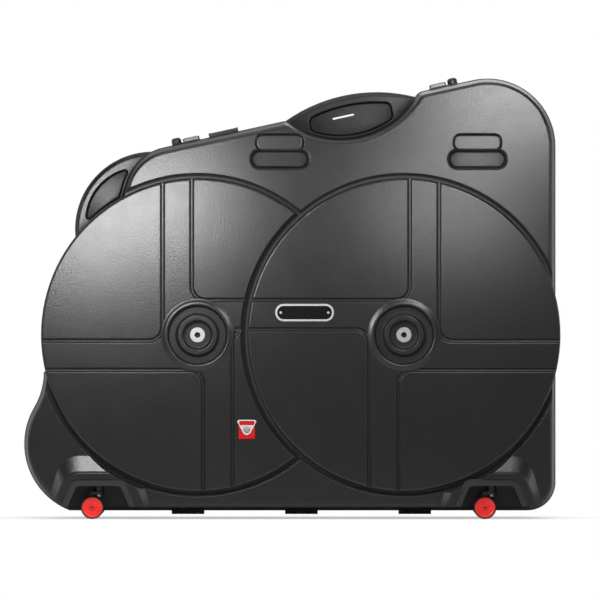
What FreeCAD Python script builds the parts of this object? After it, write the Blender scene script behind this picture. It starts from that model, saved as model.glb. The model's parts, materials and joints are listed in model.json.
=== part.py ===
"""Hard-shell bike travel case: two mirrored half shells hinged along the bottom edge, on four twin casters.

Millimetres. x runs to the right, y away from the viewer, z up. The origin lies on the floor, midway
along the case, in the plane where the two halves meet. The front half fills y < 0, the rear half y > 0.
"""
import FreeCAD
import Part
import math
import os

V = FreeCAD.Vector
SAME = 1e-6                 # places closer than this count as one

# Shell sizes
FLOOR_GAP = 17.0            # underside of the shells above the floor
RIGHT_X = 580.0             # right-hand side of the main face
TOP_X = -344.0              # a point on the sloping top edge
TOP_Z = 804.0
TOP_SLOPE = 12.27           # degrees
DISC_DEPTH = 188.0          # face of the round wheel bays from the parting plane
DISC_PROUD = 8.0            # they stand proud of the main face
FLARE_PROUD = 7.0           # and the wheel arches' lips stand proud of them
FACE_DEPTH = DISC_DEPTH - DISC_PROUD
FLARE_DEPTH = DISC_DEPTH + FLARE_PROUD
WALL = 2.8
RIM_DEPTH = 26.0            # straight band beside the parting plane
RIM_STEP = 1.5              # the walls step in by this much behind the band
DRAFT = 9.0                 # and lean in by this much up to the main face
DISC_DRAFT = 1.5            # the wheel bays lean in less
FACE_EDGE_RADIUS = 7.0
FLANGE_WIDTH = 10.0         # flange inside the rim
FLANGE_DEPTH = 4.0
PAST = 25.0                 # how far a cutting solid reaches past what it cuts

# Outline corners of the main face
TOP_RIGHT_RADIUS = 150.0
BOTTOM_RIGHT_RADIUS = 62.0
SHOULDER_X = -350.0         # where the main face ends beside the left handle
SHOULDER_RADIUS = 114.0
BULGE_X = -433.0            # round lower left bulge
BULGE_Z = 164.0
BULGE_RADIUS = 158.0
WAIST_X = -547.0            # hollow above the bulge
WAIST_Z = 322.0
WAIST_RADIUS = 154.0
SHOULDER_FOOT_X = -398.0    # the shoulder's edge runs in under the left bay to here
SHOULDER_FOOT_Z = 639.0

# Wheel bays and hubs
DISC_RADIUS = 346.0
HUB_X = {"left": -208.0, "right": 245.0}
HUB_Z = 404.0
DISC_EDGE_RADIUS = 5.0
MOAT_WIDTH = 9.0            # groove round each bay
MOAT_DEPTH = 14.0
MOAT_FLARE = 7.0
MOAT_ROUNDING = 2.0
DISH_RADIUS = 78.0
DISH_CHAMFER = 5.0
DISH_DEPTH = 17.0
DISH_FLOOR_RADIUS = 68.0
DISH_ROUNDING = 4.0
VALLEY_RADIUS = 48.5
RING_RADIUS = 45.5
RING_DROP = 5.0             # raised ring below the bay's face
RING_CHAMFER = 3.0
CUP_RADIUS = 31.0
CUP_DEPTH = 26.0
CUP_FLOOR = 5.0
CUP_DRAFT = 1.0
CUP_ROUNDING = 3.0
RIB_OFFSET = 12.5           # pinwheel ribs: near edge from the hub's centre lines
RIB_WIDTH = 64.0
PANEL_RADIUS = 30.0
SEAM_WIDTH = 11.0
SEAM_FLOOR = 3.0
SEAM_DEPTH = 4.0

# Hub bushes for a 12 mm through axle
AXLE_HOLE_RADIUS = 6.2
BUSH_RADIUS = 9.0
BUSH_FLANGE_RADIUS = 17.0
BUSH_FLANGE = 4.0
BUSH_ROUNDING = 1.2
NUT_FLATS = 28.0
NUT_HEIGHT = 7.0
FIT = 0.05                  # radial clearance of fits

# Handles
HANDLE_DEPTH = 34.0         # half thickness of a handle
WEB_DEPTH = 6.0             # floor of a handle pocket from the parting plane
HANDLE_EDGE_RADIUS = 10.0
POCKET_DRAFT = 3.0
EYE_X = 133.0               # hollow of the main face behind the top handle
EYE_RADIUS = 200.0
EYE_DEPTH = 65.0
EYE_TIP_RADIUS = 25.0
TOP_BAR_X = 186.0           # top handle bar, an arc about this point
TOP_BAR_PEAK = 939.0
TOP_BAR_RADIUS = 348.0
TOP_BAR_Z = TOP_BAR_PEAK - TOP_BAR_RADIUS
TOP_BAR_WIDTH = 22.0
TOP_POCKET_X = 129.0
TOP_POCKET_Z = 884.0
TOP_POCKET_REACH = 92.0
SIDE_BAR_X = -307.6         # left handle bar
SIDE_BAR_RADIUS = 171.4
SIDE_BAR_WIDTH = 30.0
SIDE_POCKET_X = -337.0
SIDE_POCKET_RADIUS = 118.0
POCKET_MARGIN = 3.0
POCKET_ROUNDING = 6.0
TOP_POCKET_ROUNDING = 14.0
SLOT_X = 112.5              # strap slot through the web of the top handle
SLOT_Z = 885.0
SLOT_LENGTH = 48.0
SLOT_HEIGHT = 4.0
SLOT_END_FLAT = 0.2

# Grip paddles and their pockets
GRIP_X = {"left": -28.0, "right": 406.0}
PADDLE_Z = 826.0
PADDLE_LENGTH = 101.0
PADDLE_HEIGHT = 31.0
PADDLE_THICKNESS = 8.0
PADDLE_PROUD = 1.0
PADDLE_GAP = 2.0
PADDLE_CORNER_RADIUS = 12.4
PADDLE_EDGE_RADIUS = 2.5
PADDLE_RECESS = 14.0
PADDLE_AXIS_DROP = 5.5      # hinge line below the paddle's upper edge
PADDLE_PIN_RADIUS = 2.0
PADDLE_PIN_LENGTH = 4.0
GRIP_POCKET_LENGTH = 128.0
GRIP_POCKET_HEIGHT = 42.0
GRIP_POCKET_DEPTH = 26.0
GRIP_POCKET_DRAFT = 6.0
GRIP_POCKET_RADIUS = 20.5
GRIP_POCKET_LIP = 3.0       # sloping lip round the mouth of a pocket and of its paddle's recess

# Wheel arches and casters
ARCH_X = {"left": -425.0, "right": 437.0}
ARCH_TOP = 88.0
ARCH_HALF_TOP = 58.0
ARCH_HALF_BOTTOM = 88.0
ARCH_RADIUS = 24.0
FLARE_WIDTH = 17.0          # flat lip round an arch
FLARE_RISE = 34.0           # the lip fades into the face over this height above it
FLARE_SPREAD = 12.0         # and over this width beside it
FLARE_BEAD = 4.0
CASTER_Y = DISC_DEPTH - 50.0
WELL_BACK = CASTER_Y - 54.0
CUP_GAP = 0.3
CUP_INSET = 4.0             # cup set back from the lip
CUP_WALL = 15.0
CUP_BACK_WALL = 6.0
TRAIL = 14.0
WHEEL_RADIUS = 25.0
TYRE = 2.7
TYRE_ROUNDING = 1.5
WHEEL_WIDTH = 11.5
WHEEL_GAP = 0.6
WHEEL_RIM = 3.0
WHEEL_RIM_ROUNDING = 1.0
WHEEL_RIM_SLOPE = 2.0
WHEEL_DISH = 2.0            # outer face set in between rim and hub
WHEEL_HUB_RADIUS = 6.0
WHEEL_HUB_SLOPE = 1.5
LEG_WIDTH = 11.0
LEG_RADIUS = 8.5
LEG_GAP = 1.0               # leg from the kingpin's head
AXLE_RADIUS = 3.0
CROWN_BOTTOM = 53.5
CROWN_HEIGHT = 6.5
CROWN_RADIUS = 13.0
KINGPIN_RADIUS = 5.0
KINGPIN_HEAD_RADIUS = 7.5
KINGPIN_HEAD = 5.0
KINGPIN_HEAD_ROUNDING = 2.0
KINGPIN_TIP_ROUNDING = 1.0
KINGPIN_TOP = 84.0
BOSS_RADIUS = 10.5
BOSS_GAP = 0.5

# Locks on the top edge
LOCK_X = {"left": -222.0, "right": 322.0}
LOCK_PLATE = 2.0
LOCK_HALF = 20.0
LOCK_NEAR = 3.0             # plates keep this far from the parting plane
LOCK_FAR = 24.0
LOCK_CORNER = 3.0
HASP_HALF = 15.5
HASP_THICKNESS = 2.4
HASP_CHAMFER = 2.0
HASP_PIVOT_Y = 18.0
HASP_PIVOT_N = 6.0
HASP_PIN_RADIUS = 1.8
HASP_BARREL_RADIUS = 3.4
EAR_THICKNESS = 2.6
KEEPER_BAR_Y = 8.0
KEEPER_BAR = 3.2
KEEPER_TOP = 7.0
LOCK_GAP = 0.4
CYLINDER_U = 33.0
CYLINDER_RADIUS = 11.0
CYLINDER_HEIGHT = 13.0
SPIGOT_RADIUS = 4.0
KEYWAY_LENGTH = 9.0
KEYWAY_WIDTH = 1.6
KEYWAY_DEPTH = 4.0

# Tag holder on the top edge
TAG_X = -151.0
TAG_HALF = 33.0
TAG_NEAR = 5.0
TAG_FAR = 25.0
TAG_BASE = 2.5
TAG_HEIGHT = 9.0
TAG_POST = 5.0
TAG_WINDOW = 1.6
TAG_WINDOW_N = 6.0
TAG_WINDOW_MARGIN = 1.0
TAG_BITE = 1.5
TAG_ROUNDING = 1.5

# Nameplate
PLATE_X = 27.0
PLATE_Z = 453.0
PLATE_LENGTH = 129.0
PLATE_HEIGHT = 38.5
PLATE_END_FLAT = 0.9
BEZEL_WIDTH = 4.5
BEZEL_HEIGHT = 3.4
BEZEL_ROUNDING = 1.2
PLATE_THICKNESS = 1.8
PLATE_RIVET_X = 52.0
PLATE_RIVET_RADIUS = 3.4
PLATE_RIVET_HEIGHT = 2.2
PLATE_SHANK_RADIUS = 1.7

# Strap anchor
ANCHOR_X = -99.7
ANCHOR_Z = 201.0
ANCHOR_WIDTH = 42.0
ANCHOR_FOOT = 18.0
ANCHOR_HEIGHT = 34.0
ANCHOR_PLATE = 2.2
ANCHOR_SLOT_LENGTH = 33.0
ANCHOR_SLOT_HEIGHT = 8.0
ANCHOR_SLOT_Z = 8.0
ANCHOR_SLOT_ROUNDING = 2.7
ANCHOR_RADIUS = 5.0
WEBBING_WIDTH = 35.0
WEBBING_TOP = 14.0
WEBBING_BOTTOM = -25.0
WEBBING = 1.8
WEBBING_ROUNDING = 1.0
ANCHOR_RIVET_Z = -4.0
ANCHOR_RIVET_RADIUS = 7.2
ANCHOR_RIVET_HEIGHT = 3.0
ANCHOR_SHANK_RADIUS = 3.0
RIVET_FLANK = 0.25           # straight edge of a rivet's head

# Bottom hinges
HINGE_X = (-230.0, 20.0, 270.0)
HINGE_HALF = 36.0
HINGE_LEAF = 2.0
HINGE_LEAF_FAR = 25.0
HINGE_KNUCKLE_RADIUS = 4.2
HINGE_PIN_RADIUS = 2.0
HINGE_KNUCKLES = 5
HINGE_GAP = 0.3
HINGE_LAP = 1.0             # tongues of the knuckles run into the leaf

# Rim seal and wheel pads
SEAL_INSET = 4.4
SEAL_WIDTH = 4.0
SEAL_DEPTH = 1.8
SEAL_GAP = 0.1
PAD_OUTER_RADIUS = 318.0
PAD_INNER_RADIUS = 90.0
PAD_THICKNESS = 18.0
PAD_GAP = 0.4
PAD_EDGE_RADIUS = 7.0

SLOPE = math.radians(TOP_SLOPE)
ALONG = V(math.cos(SLOPE), 0, math.sin(SLOPE))
OUT = V(-math.sin(SLOPE), 0, math.cos(SLOPE))
ACROSS = V(0, 1, 0)
TURN_OUT = {"left": -1, "right": 1}     # which way a hub's pinwheel and a lock's outer end point
HINGE_Z = FLOOR_GAP - SEAL_GAP - HINGE_KNUCKLE_RADIUS


def at(x, z, y=0.0):
    return V(x, y, z)


def top_z(x):
    return TOP_Z + math.tan(SLOPE) * (x - TOP_X)


def line(a, b):
    return Part.LineSegment(a, b).toShape()


def arc(a, middle, b):
    return Part.Arc(a, middle, b).toShape()


def corner(p, before, after, radius):
    """Start, middle and end of the arc that rounds the corner p."""
    u = (before - p).normalize()
    w = (after - p).normalize()
    half = u.getAngle(w) / 2
    centre = p + (u + w).normalize() * (radius / math.sin(half))
    reach = radius / math.tan(half)
    return p + u * reach, centre + (p - centre).normalize() * radius, p + w * reach


def rounded(corners, place=at):
    """Face inside a polygon given as (u, v, corner radius)."""
    points = [place(u, v) for u, v, _ in corners]
    stretches = []
    for i, (_, _, radius) in enumerate(corners):
        p = points[i]
        if radius > 0:
            stretches.append(corner(p, points[i - 1], points[(i + 1) % len(points)], radius))
        else:
            stretches.append((p, None, p))
    edges = []
    for i, (start, middle, end) in enumerate(stretches):
        if middle is not None:
            edges.append(arc(start, middle, end))
        following = stretches[(i + 1) % len(stretches)][0]
        if end.distanceToPoint(following) > SAME:
            edges.append(line(end, following))
    return Part.Face(Part.Wire(edges))


def box_outline(x, z, length, height, radius):
    u, v = length / 2, height / 2
    signs = [(-1, -1), (1, -1), (1, 1), (-1, 1)]
    return rounded([(x + i * u, z + j * v, radius) for i, j in signs])


def disc(x, z, radius):
    return Part.Face(Part.Wire(Part.makeCircle(radius, at(x, z), ACROSS)))


def grown(face, amount):
    return face.makeOffset2D(amount) if abs(amount) > SAME else face


def slab(face, near, far):
    """Prism on a face of the y = 0 plane, from depth near to depth far in front of that plane."""
    return face.translated(V(0, -near, 0)).extrude(V(0, near - far, 0))


def drafted(face, near, near_growth, far, far_growth):
    """Prism whose outline grows evenly from one depth to the other."""
    first = grown(face, near_growth).OuterWire.translated(V(0, -near, 0))
    last = grown(face, far_growth).OuterWire.translated(V(0, -far, 0))
    return Part.makeLoft([first, last], True, True)


def turned(corners, x, z):
    """Solid of revolution about the line through (x, z) along y; corners are (radius, depth, rounding)."""
    face = rounded(corners, lambda r, depth: V(x + r, -depth, z))
    return face.revolve(at(x, z), ACROSS, 360)


def upright(corners, x, y):
    """Solid of revolution about an upright line; corners are (radius, height, rounding)."""
    face = rounded(corners, lambda r, height: V(x + r, y, height))
    return face.revolve(V(x, y, 0), V(0, 0, 1), 360)


def rod(centre, radius, length):
    """Round bar along x about its centre."""
    return Part.makeCylinder(radius, length, centre - V(length / 2, 0, 0), V(1, 0, 0))


def edges_at_depth(shape, depth):
    boxes = [(e, e.BoundBox) for e in shape.Edges]
    return [e for e, box in boxes if abs(box.YMin + depth) < SAME and abs(box.YMax + depth) < SAME]


def mirrored(shape):
    return shape.mirror(V(0, 0, 0), ACROSS)


def side_bar_centre():
    """The left handle's arc is tangent to the top edge."""
    return at(SIDE_BAR_X, top_z(SIDE_BAR_X) - SIDE_BAR_RADIUS / math.cos(SLOPE))


def eye_centre():
    return at(EYE_X, top_z(EYE_X)) + OUT * (EYE_RADIUS - EYE_DEPTH)


def eye_tip(side):
    """Rounded tip where the top edge turns into the hollow behind the top handle."""
    height = EYE_RADIUS - EYE_DEPTH + EYE_TIP_RADIUS
    reach = math.sqrt((EYE_RADIUS + EYE_TIP_RADIUS) ** 2 - height ** 2)
    centre = at(EYE_X, top_z(EYE_X)) - OUT * EYE_TIP_RADIUS + ALONG * (side * reach)
    on_edge = centre + OUT * EYE_TIP_RADIUS
    on_eye = eye_centre() + (centre - eye_centre()).normalize() * EYE_RADIUS
    middle = centre + ((on_edge - centre) + (on_eye - centre)).normalize() * EYE_TIP_RADIUS
    return on_edge, middle, on_eye


def main_face():
    """Outline of the main face, clockwise from the shoulder beside the left handle."""
    left_tip = eye_tip(-1)
    right_tip = eye_tip(1)
    eye_bottom = eye_centre() - OUT * EYE_RADIUS
    inner_top = at(SHOULDER_FOOT_X, SHOULDER_FOOT_Z)
    inner_low = at(SHOULDER_FOOT_X, WAIST_Z)
    waist = at(WAIST_X, WAIST_Z)
    bulge = at(BULGE_X, BULGE_Z)
    hollow = waist - V(WAIST_RADIUS, 0, 0)
    turn = bulge + (hollow - bulge).normalize() * BULGE_RADIUS
    hollow = turn + (hollow - bulge).normalize() * WAIST_RADIUS
    waist = hollow + V(WAIST_RADIUS, 0, 0)
    hollow_middle = hollow + ((waist - hollow) + (turn - hollow)).normalize() * WAIST_RADIUS
    foot = at(BULGE_X - math.sqrt(BULGE_RADIUS ** 2 - (BULGE_Z - FLOOR_GAP) ** 2), FLOOR_GAP)
    shoulder = corner(at(SHOULDER_X, top_z(SHOULDER_X)), inner_top, left_tip[0], SHOULDER_RADIUS)
    bottom_right = at(RIGHT_X, FLOOR_GAP)
    top_right = corner(at(RIGHT_X, top_z(RIGHT_X)), right_tip[0], bottom_right, TOP_RIGHT_RADIUS)
    bottom_right = corner(bottom_right, top_right[2], foot, BOTTOM_RIGHT_RADIUS)
    return Part.Face(Part.Wire([
        arc(*shoulder),
        line(shoulder[2], left_tip[0]),
        arc(*left_tip),
        arc(left_tip[2], eye_bottom, right_tip[2]),
        arc(right_tip[2], right_tip[1], right_tip[0]),
        line(right_tip[0], top_right[0]),
        arc(*top_right),
        line(top_right[2], bottom_right[0]),
        arc(*bottom_right),
        line(bottom_right[2], foot),
        arc(foot, bulge - V(BULGE_RADIUS, 0, 0), turn),
        arc(turn, hollow_middle, waist),
        line(waist, inner_low),
        line(inner_low, inner_top),
        line(inner_top, shoulder[0]),
    ]))


def top_pocket(inset):
    hollow = disc(TOP_BAR_X, TOP_BAR_Z, TOP_BAR_RADIUS - TOP_BAR_WIDTH + inset)
    eye = eye_centre()
    hollow = hollow.common(disc(eye.x, eye.z, EYE_RADIUS - POCKET_MARGIN + inset))
    hollow = hollow.common(disc(TOP_POCKET_X, TOP_POCKET_Z, TOP_POCKET_REACH + inset))
    return grown(grown(hollow.Faces[0], -TOP_POCKET_ROUNDING), TOP_POCKET_ROUNDING)


def side_pocket(inset):
    below_edge = (SIDE_POCKET_RADIUS + SIDE_BAR_WIDTH) / math.cos(SLOPE)
    hollow = disc(SIDE_POCKET_X, top_z(SIDE_POCKET_X) - below_edge, SIDE_POCKET_RADIUS + inset)
    hollow = hollow.cut([
        grown(main_face(), POCKET_MARGIN - inset),
        disc(HUB_X["left"], HUB_Z, DISC_RADIUS + POCKET_MARGIN - inset),
    ])
    hollow = max(hollow.Faces, key=lambda f: f.Area)
    return grown(grown(hollow, -POCKET_ROUNDING), POCKET_ROUNDING)


def bay(side, inset):
    """One round wheel bay, standing proud of the main face."""
    depth = DISC_DEPTH - inset
    rim = DISC_RADIUS - inset
    return turned([
        (0, 0, 0), (rim, 0, 0), (rim, RIM_DEPTH, 0), (rim - RIM_STEP, RIM_DEPTH, 0),
        (rim - RIM_STEP - DISC_DRAFT, depth, DISC_EDGE_RADIUS - inset), (0, depth, 0),
    ], HUB_X[side], HUB_Z)


def moat(side, inset):
    """Groove between a wheel bay and what lies round it."""
    outer = DISC_RADIUS - RIM_STEP - DISC_DRAFT + MOAT_WIDTH + inset
    floor = FACE_DEPTH - MOAT_DEPTH - inset
    return turned([
        (DISC_RADIUS - PAST, floor, 0), (outer - MOAT_ROUNDING, floor, MOAT_ROUNDING),
        (outer, floor + MOAT_DEPTH / 2, 0),
        (outer + MOAT_FLARE, DISC_DEPTH, 0), (outer + MOAT_FLARE, FLARE_DEPTH + PAST, 0),
        (DISC_RADIUS - PAST, FLARE_DEPTH + PAST, 0),
    ], HUB_X[side], HUB_Z)


def hub_recess(side, inset):
    """Stepped recess round a hub: dish, raised ring and cup; inside the wall the ring is left plain."""
    face = DISC_DEPTH
    top = face + PAST
    if inset:
        dish_floor = face - DISH_DEPTH - inset
        cup_floor = face - CUP_DEPTH - CUP_FLOOR
        cup = CUP_RADIUS + inset
        return turned([
            (0, cup_floor, 0), (cup, cup_floor, 0), (cup, dish_floor, 0), (DISH_FLOOR_RADIUS + inset, dish_floor, 0),
            (DISH_RADIUS + inset, face - inset, 0), (DISH_RADIUS + inset, top, 0), (0, top, 0),
        ], HUB_X[side], HUB_Z)
    ring_top = face - RING_DROP
    return turned([
        (0, face - CUP_DEPTH, 0), (CUP_RADIUS - CUP_DRAFT, face - CUP_DEPTH, CUP_ROUNDING),
        (CUP_RADIUS, ring_top - RING_CHAMFER, 0), (CUP_RADIUS + RING_CHAMFER, ring_top, 0),
        (RING_RADIUS - RING_CHAMFER, ring_top, 0), (RING_RADIUS, ring_top - RING_CHAMFER, 0),
        (VALLEY_RADIUS, face - DISH_DEPTH, 0), (DISH_FLOOR_RADIUS, face - DISH_DEPTH, DISH_ROUNDING),
        (DISH_RADIUS - DISH_CHAMFER, face - DISH_CHAMFER, DISH_ROUNDING), (DISH_RADIUS, face, 0),
        (DISH_RADIUS, top, 0), (0, top, 0),
    ], HUB_X[side], HUB_Z)


def panel_seams(side, inset):
    """Four bent grooves that divide a bay into a pinwheel of panels and ribs."""
    far = RIB_OFFSET + RIB_WIDTH
    reach = DISC_RADIUS + PAST

    def bent(half):
        face = rounded([
            (-far - half, reach, 0), (-far - half, -RIB_OFFSET + half, PANEL_RADIUS - half),
            (-reach, -RIB_OFFSET + half, 0), (-reach, -RIB_OFFSET - half, 0),
            (-far + half, -RIB_OFFSET - half, PANEL_RADIUS + half), (-far + half, reach, 0),
        ])
        return face.OuterWire

    upper = bent(SEAM_WIDTH / 2 + inset).translated(V(0, -DISC_DEPTH, 0))
    lower = bent(SEAM_FLOOR / 2 + inset).translated(V(0, SEAM_DEPTH + inset - DISC_DEPTH, 0))
    seam = Part.makeLoft([lower, upper], True, True)
    if side == "right":
        seam = seam.mirror(V(0, 0, 0), V(1, 0, 0))
    seams = []
    for quarter in range(4):
        turned_seam = seam.copy()
        turned_seam.rotate(V(0, 0, 0), ACROSS, 90 * quarter)
        seams.append(turned_seam.translated(at(HUB_X[side], HUB_Z)))
    return seams


def arch(side, growth, bottom, rise=0.0, spread=0.0):
    """Outline of a wheel arch, down to the given height; it can grow further upwards and sideways."""
    x = ARCH_X[side]
    lean = (ARCH_HALF_BOTTOM - ARCH_HALF_TOP) / (ARCH_TOP - FLOOR_GAP)
    top = ARCH_TOP + growth
    half_top = ARCH_HALF_TOP + growth * (math.sqrt(1 + lean ** 2) - lean)
    half_bottom = half_top + lean * (top - bottom) + spread
    half_top += spread
    radius = ARCH_RADIUS + growth + spread
    return rounded([
        (x - half_bottom, bottom, 0), (x - half_top, top + rise, radius),
        (x + half_top, top + rise, radius), (x + half_bottom, bottom, 0),
    ])


def flare(side, inset, outline):
    """Raised lip round a wheel arch: a ramp out of the main face, a small bead and a flat lip."""
    bottom = FLOOR_GAP + RIM_STEP + DRAFT + inset
    lip = FLARE_WIDTH - inset
    sections = [
        (arch(side, lip, bottom, FLARE_RISE, FLARE_SPREAD), FACE_DEPTH / 2),
        (arch(side, lip, bottom, FLARE_RISE, FLARE_SPREAD), FACE_DEPTH - inset),
        (arch(side, lip, bottom), FLARE_DEPTH - FLARE_BEAD - inset),
        (arch(side, lip - FLARE_BEAD, bottom), FLARE_DEPTH - inset),
    ]
    wires = [face.OuterWire.translated(V(0, -depth, 0)) for face, depth in sections]
    steps = [Part.makeLoft([near, far], True, True) for near, far in zip(wires, wires[1:])]
    reach = slab(grown(outline, -RIM_STEP - DRAFT), 0, FLARE_DEPTH)
    return steps[0].fuse(steps[1:]).common(reach)


def well(side, inset):
    return slab(arch(side, inset, -PAST), WELL_BACK - inset, FLARE_DEPTH + PAST)


def paddle_recess(side, growth):
    """Opening for a grip paddle, from the pocket's top to above the paddle."""
    x = GRIP_X[side]
    height = PADDLE_HEIGHT + 2 * PADDLE_GAP + 2 * growth
    length = PADDLE_LENGTH + PADDLE_GAP + 2 * growth
    outline = box_outline(x, PADDLE_Z, length, height, PADDLE_CORNER_RADIUS + PADDLE_GAP + growth)
    lip = drafted(outline, FACE_DEPTH - GRIP_POCKET_LIP, 0, FACE_DEPTH, GRIP_POCKET_LIP)
    return slab(outline, FACE_DEPTH - PADDLE_RECESS - growth, FACE_DEPTH).fuse(lip)


def grip_pocket(side, growth):
    """Finger pocket under a grip paddle."""
    z = PADDLE_Z - (PADDLE_HEIGHT + GRIP_POCKET_HEIGHT) / 2
    outline = box_outline(GRIP_X[side], z, GRIP_POCKET_LENGTH, GRIP_POCKET_HEIGHT, GRIP_POCKET_RADIUS)
    floor = FACE_DEPTH - GRIP_POCKET_DEPTH - growth
    lip = drafted(outline, FACE_DEPTH - GRIP_POCKET_LIP, growth, FACE_DEPTH, growth + GRIP_POCKET_LIP)
    return drafted(outline, floor, growth - GRIP_POCKET_DRAFT, FACE_DEPTH, growth).fuse(lip)


def half_form(inset):
    """Solid form of the front half: its outer skin at inset 0, the inside of its wall at inset WALL."""
    outline = grown(main_face(), -inset)
    body = drafted(outline, RIM_DEPTH, -RIM_STEP, FACE_DEPTH - inset, -RIM_STEP - DRAFT)
    body = body.makeFillet(FACE_EDGE_RADIUS - inset, edges_at_depth(body, FACE_DEPTH - inset))
    form = body.fuse([slab(outline, 0, RIM_DEPTH)] + [flare(side, inset, outline) for side in ARCH_X])
    form = form.fuse(bay("left", inset)).cut([moat("left", inset)])
    form = form.fuse(bay("left", inset)).cut([hub_recess("left", inset)] + panel_seams("left", inset))
    form = form.cut(moat("right", inset)).fuse(bay("right", inset))
    form = form.cut([hub_recess("right", inset)] + panel_seams("right", inset))

    edge = HANDLE_EDGE_RADIUS - inset
    depth = HANDLE_DEPTH - inset
    floor = WEB_DEPTH - inset
    centre = side_bar_centre()
    bars = [
        (centre.x, centre.z, SIDE_BAR_RADIUS - inset, side_pocket(inset)),
        (TOP_BAR_X, TOP_BAR_Z, TOP_BAR_RADIUS - inset, top_pocket(inset)),
    ]
    for x, z, radius, pocket in bars:
        bar = turned([(0, 0, 0), (radius, 0, 0), (radius, depth, edge), (0, depth, 0)], x, z)
        hollow = drafted(pocket, floor, -POCKET_DRAFT, HANDLE_DEPTH, POCKET_DRAFT / 2)
        form = form.fuse(bar.cut(hollow))

    cutters = [well(side, inset) for side in ARCH_X]
    cutters += [grip_pocket(side, inset) for side in GRIP_X]
    cutters += [paddle_recess(side, inset) for side in GRIP_X]
    return form.cut(cutters)


def rim_outline():
    """Outline of the whole case in the parting plane."""
    centre = side_bar_centre()
    parts = [disc(HUB_X[side], HUB_Z, DISC_RADIUS) for side in HUB_X]
    parts += [disc(centre.x, centre.z, SIDE_BAR_RADIUS), disc(TOP_BAR_X, TOP_BAR_Z, TOP_BAR_RADIUS)]
    return Part.Face(main_face().fuse(parts).removeSplitter().Faces[0].OuterWire)


def rim_ring(outer_inset, inner_inset, near, far):
    outline = rim_outline()
    outer = slab(grown(outline, -outer_inset), near, far)
    return outer.cut(slab(grown(outline, -inner_inset), near, far))


def rim_flange():
    return rim_ring(WALL / 2, FLANGE_WIDTH, 0, FLANGE_DEPTH)


def seal_groove():
    return rim_ring(SEAL_INSET, SEAL_INSET + SEAL_WIDTH, 0, SEAL_DEPTH)


def half_walls():
    """Walls of the front half shell with all their holes."""
    holes = []
    for x in HUB_X.values():
        holes.append(slab(disc(x, HUB_Z, BUSH_RADIUS + FIT), 0, DISC_DEPTH))
    for side in GRIP_X:
        length = PADDLE_LENGTH + 2 * PADDLE_PIN_LENGTH + PADDLE_GAP
        holes.append(rod(paddle_axis(side), PADDLE_PIN_RADIUS + FIT, length))
    slot = box_outline(0, 0, SLOT_LENGTH, SLOT_HEIGHT, (SLOT_HEIGHT - SLOT_END_FLAT) / 2)
    slot.rotate(V(0, 0, 0), ACROSS, -TOP_SLOPE)
    holes.append(slab(slot.translated(at(SLOT_X, SLOT_Z)), 0, HANDLE_DEPTH))
    return half_form(0).cut(half_form(WALL)).cut(holes)


def paddle_axis(side):
    depth = FACE_DEPTH + PADDLE_PROUD - PADDLE_THICKNESS / 2
    return at(GRIP_X[side], PADDLE_Z + PADDLE_HEIGHT / 2 - PADDLE_AXIS_DROP, -depth)


def grip_paddle(side):
    """Paddle over a grip pocket, with moulded pins at its upper edge."""
    outline = box_outline(GRIP_X[side], PADDLE_Z, PADDLE_LENGTH, PADDLE_HEIGHT, PADDLE_CORNER_RADIUS)
    top = FACE_DEPTH + PADDLE_PROUD
    under = top - PADDLE_THICKNESS
    plate = slab(outline, under, top)
    plate = plate.makeFillet(PADDLE_EDGE_RADIUS, edges_at_depth(plate, top) + edges_at_depth(plate, under))
    return plate.fuse(rod(paddle_axis(side), PADDLE_PIN_RADIUS, PADDLE_LENGTH + 2 * PADDLE_PIN_LENGTH))


def hub_bush(side):
    """Flanged bush in the floor of a hub's cup, bored for the axle."""
    floor = DISC_DEPTH - CUP_DEPTH
    inner = floor - CUP_FLOOR - NUT_HEIGHT
    return turned([
        (AXLE_HOLE_RADIUS, inner, 0), (BUSH_RADIUS, inner, 0), (BUSH_RADIUS, floor, 0),
        (BUSH_FLANGE_RADIUS, floor, 0), (BUSH_FLANGE_RADIUS, floor + BUSH_FLANGE, BUSH_ROUNDING),
        (AXLE_HOLE_RADIUS, floor + BUSH_FLANGE, 0),
    ], HUB_X[side], HUB_Z)


def hub_nut(side):
    """Hexagon nut that clamps a bush from inside."""
    near = DISC_DEPTH - CUP_DEPTH - CUP_FLOOR
    centre = at(HUB_X[side], HUB_Z)
    first = centre + V(NUT_FLATS / math.sqrt(3), 0, 0)
    turn = FreeCAD.Rotation(ACROSS, 60)
    points = [first]
    for _ in range(6):
        points.append(centre + turn.multVec(points[-1] - centre))
    outline = Part.Face(Part.makePolygon(points))
    return slab(outline, near - NUT_HEIGHT, near).cut(slab(disc(centre.x, centre.z, BUSH_RADIUS), 0, near))


def caster_cup(side):
    """Moulded cup in a wheel arch, with the boss that carries the kingpin."""
    bottom = FLOOR_GAP + RIM_STEP + DRAFT
    front = FLARE_DEPTH - CUP_INSET
    back = WELL_BACK + CUP_GAP
    x = ARCH_X[side]
    cup = slab(arch(side, -CUP_GAP, bottom), back, front)
    cup = cup.cut(slab(arch(side, -CUP_WALL, -PAST), back + CUP_BACK_WALL, front + PAST))
    boss_bottom = CROWN_BOTTOM + CROWN_HEIGHT + BOSS_GAP
    boss_top = ARCH_TOP - CUP_WALL / 2
    foot = V(x, -CASTER_Y, boss_bottom)
    boss = Part.makeCylinder(BOSS_RADIUS, boss_top - boss_bottom, foot)
    bore = Part.makeCylinder(KINGPIN_RADIUS + FIT, KINGPIN_TOP - boss_bottom + BOSS_GAP, foot)
    return cup.fuse(boss).cut(bore).removeSplitter()


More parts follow.
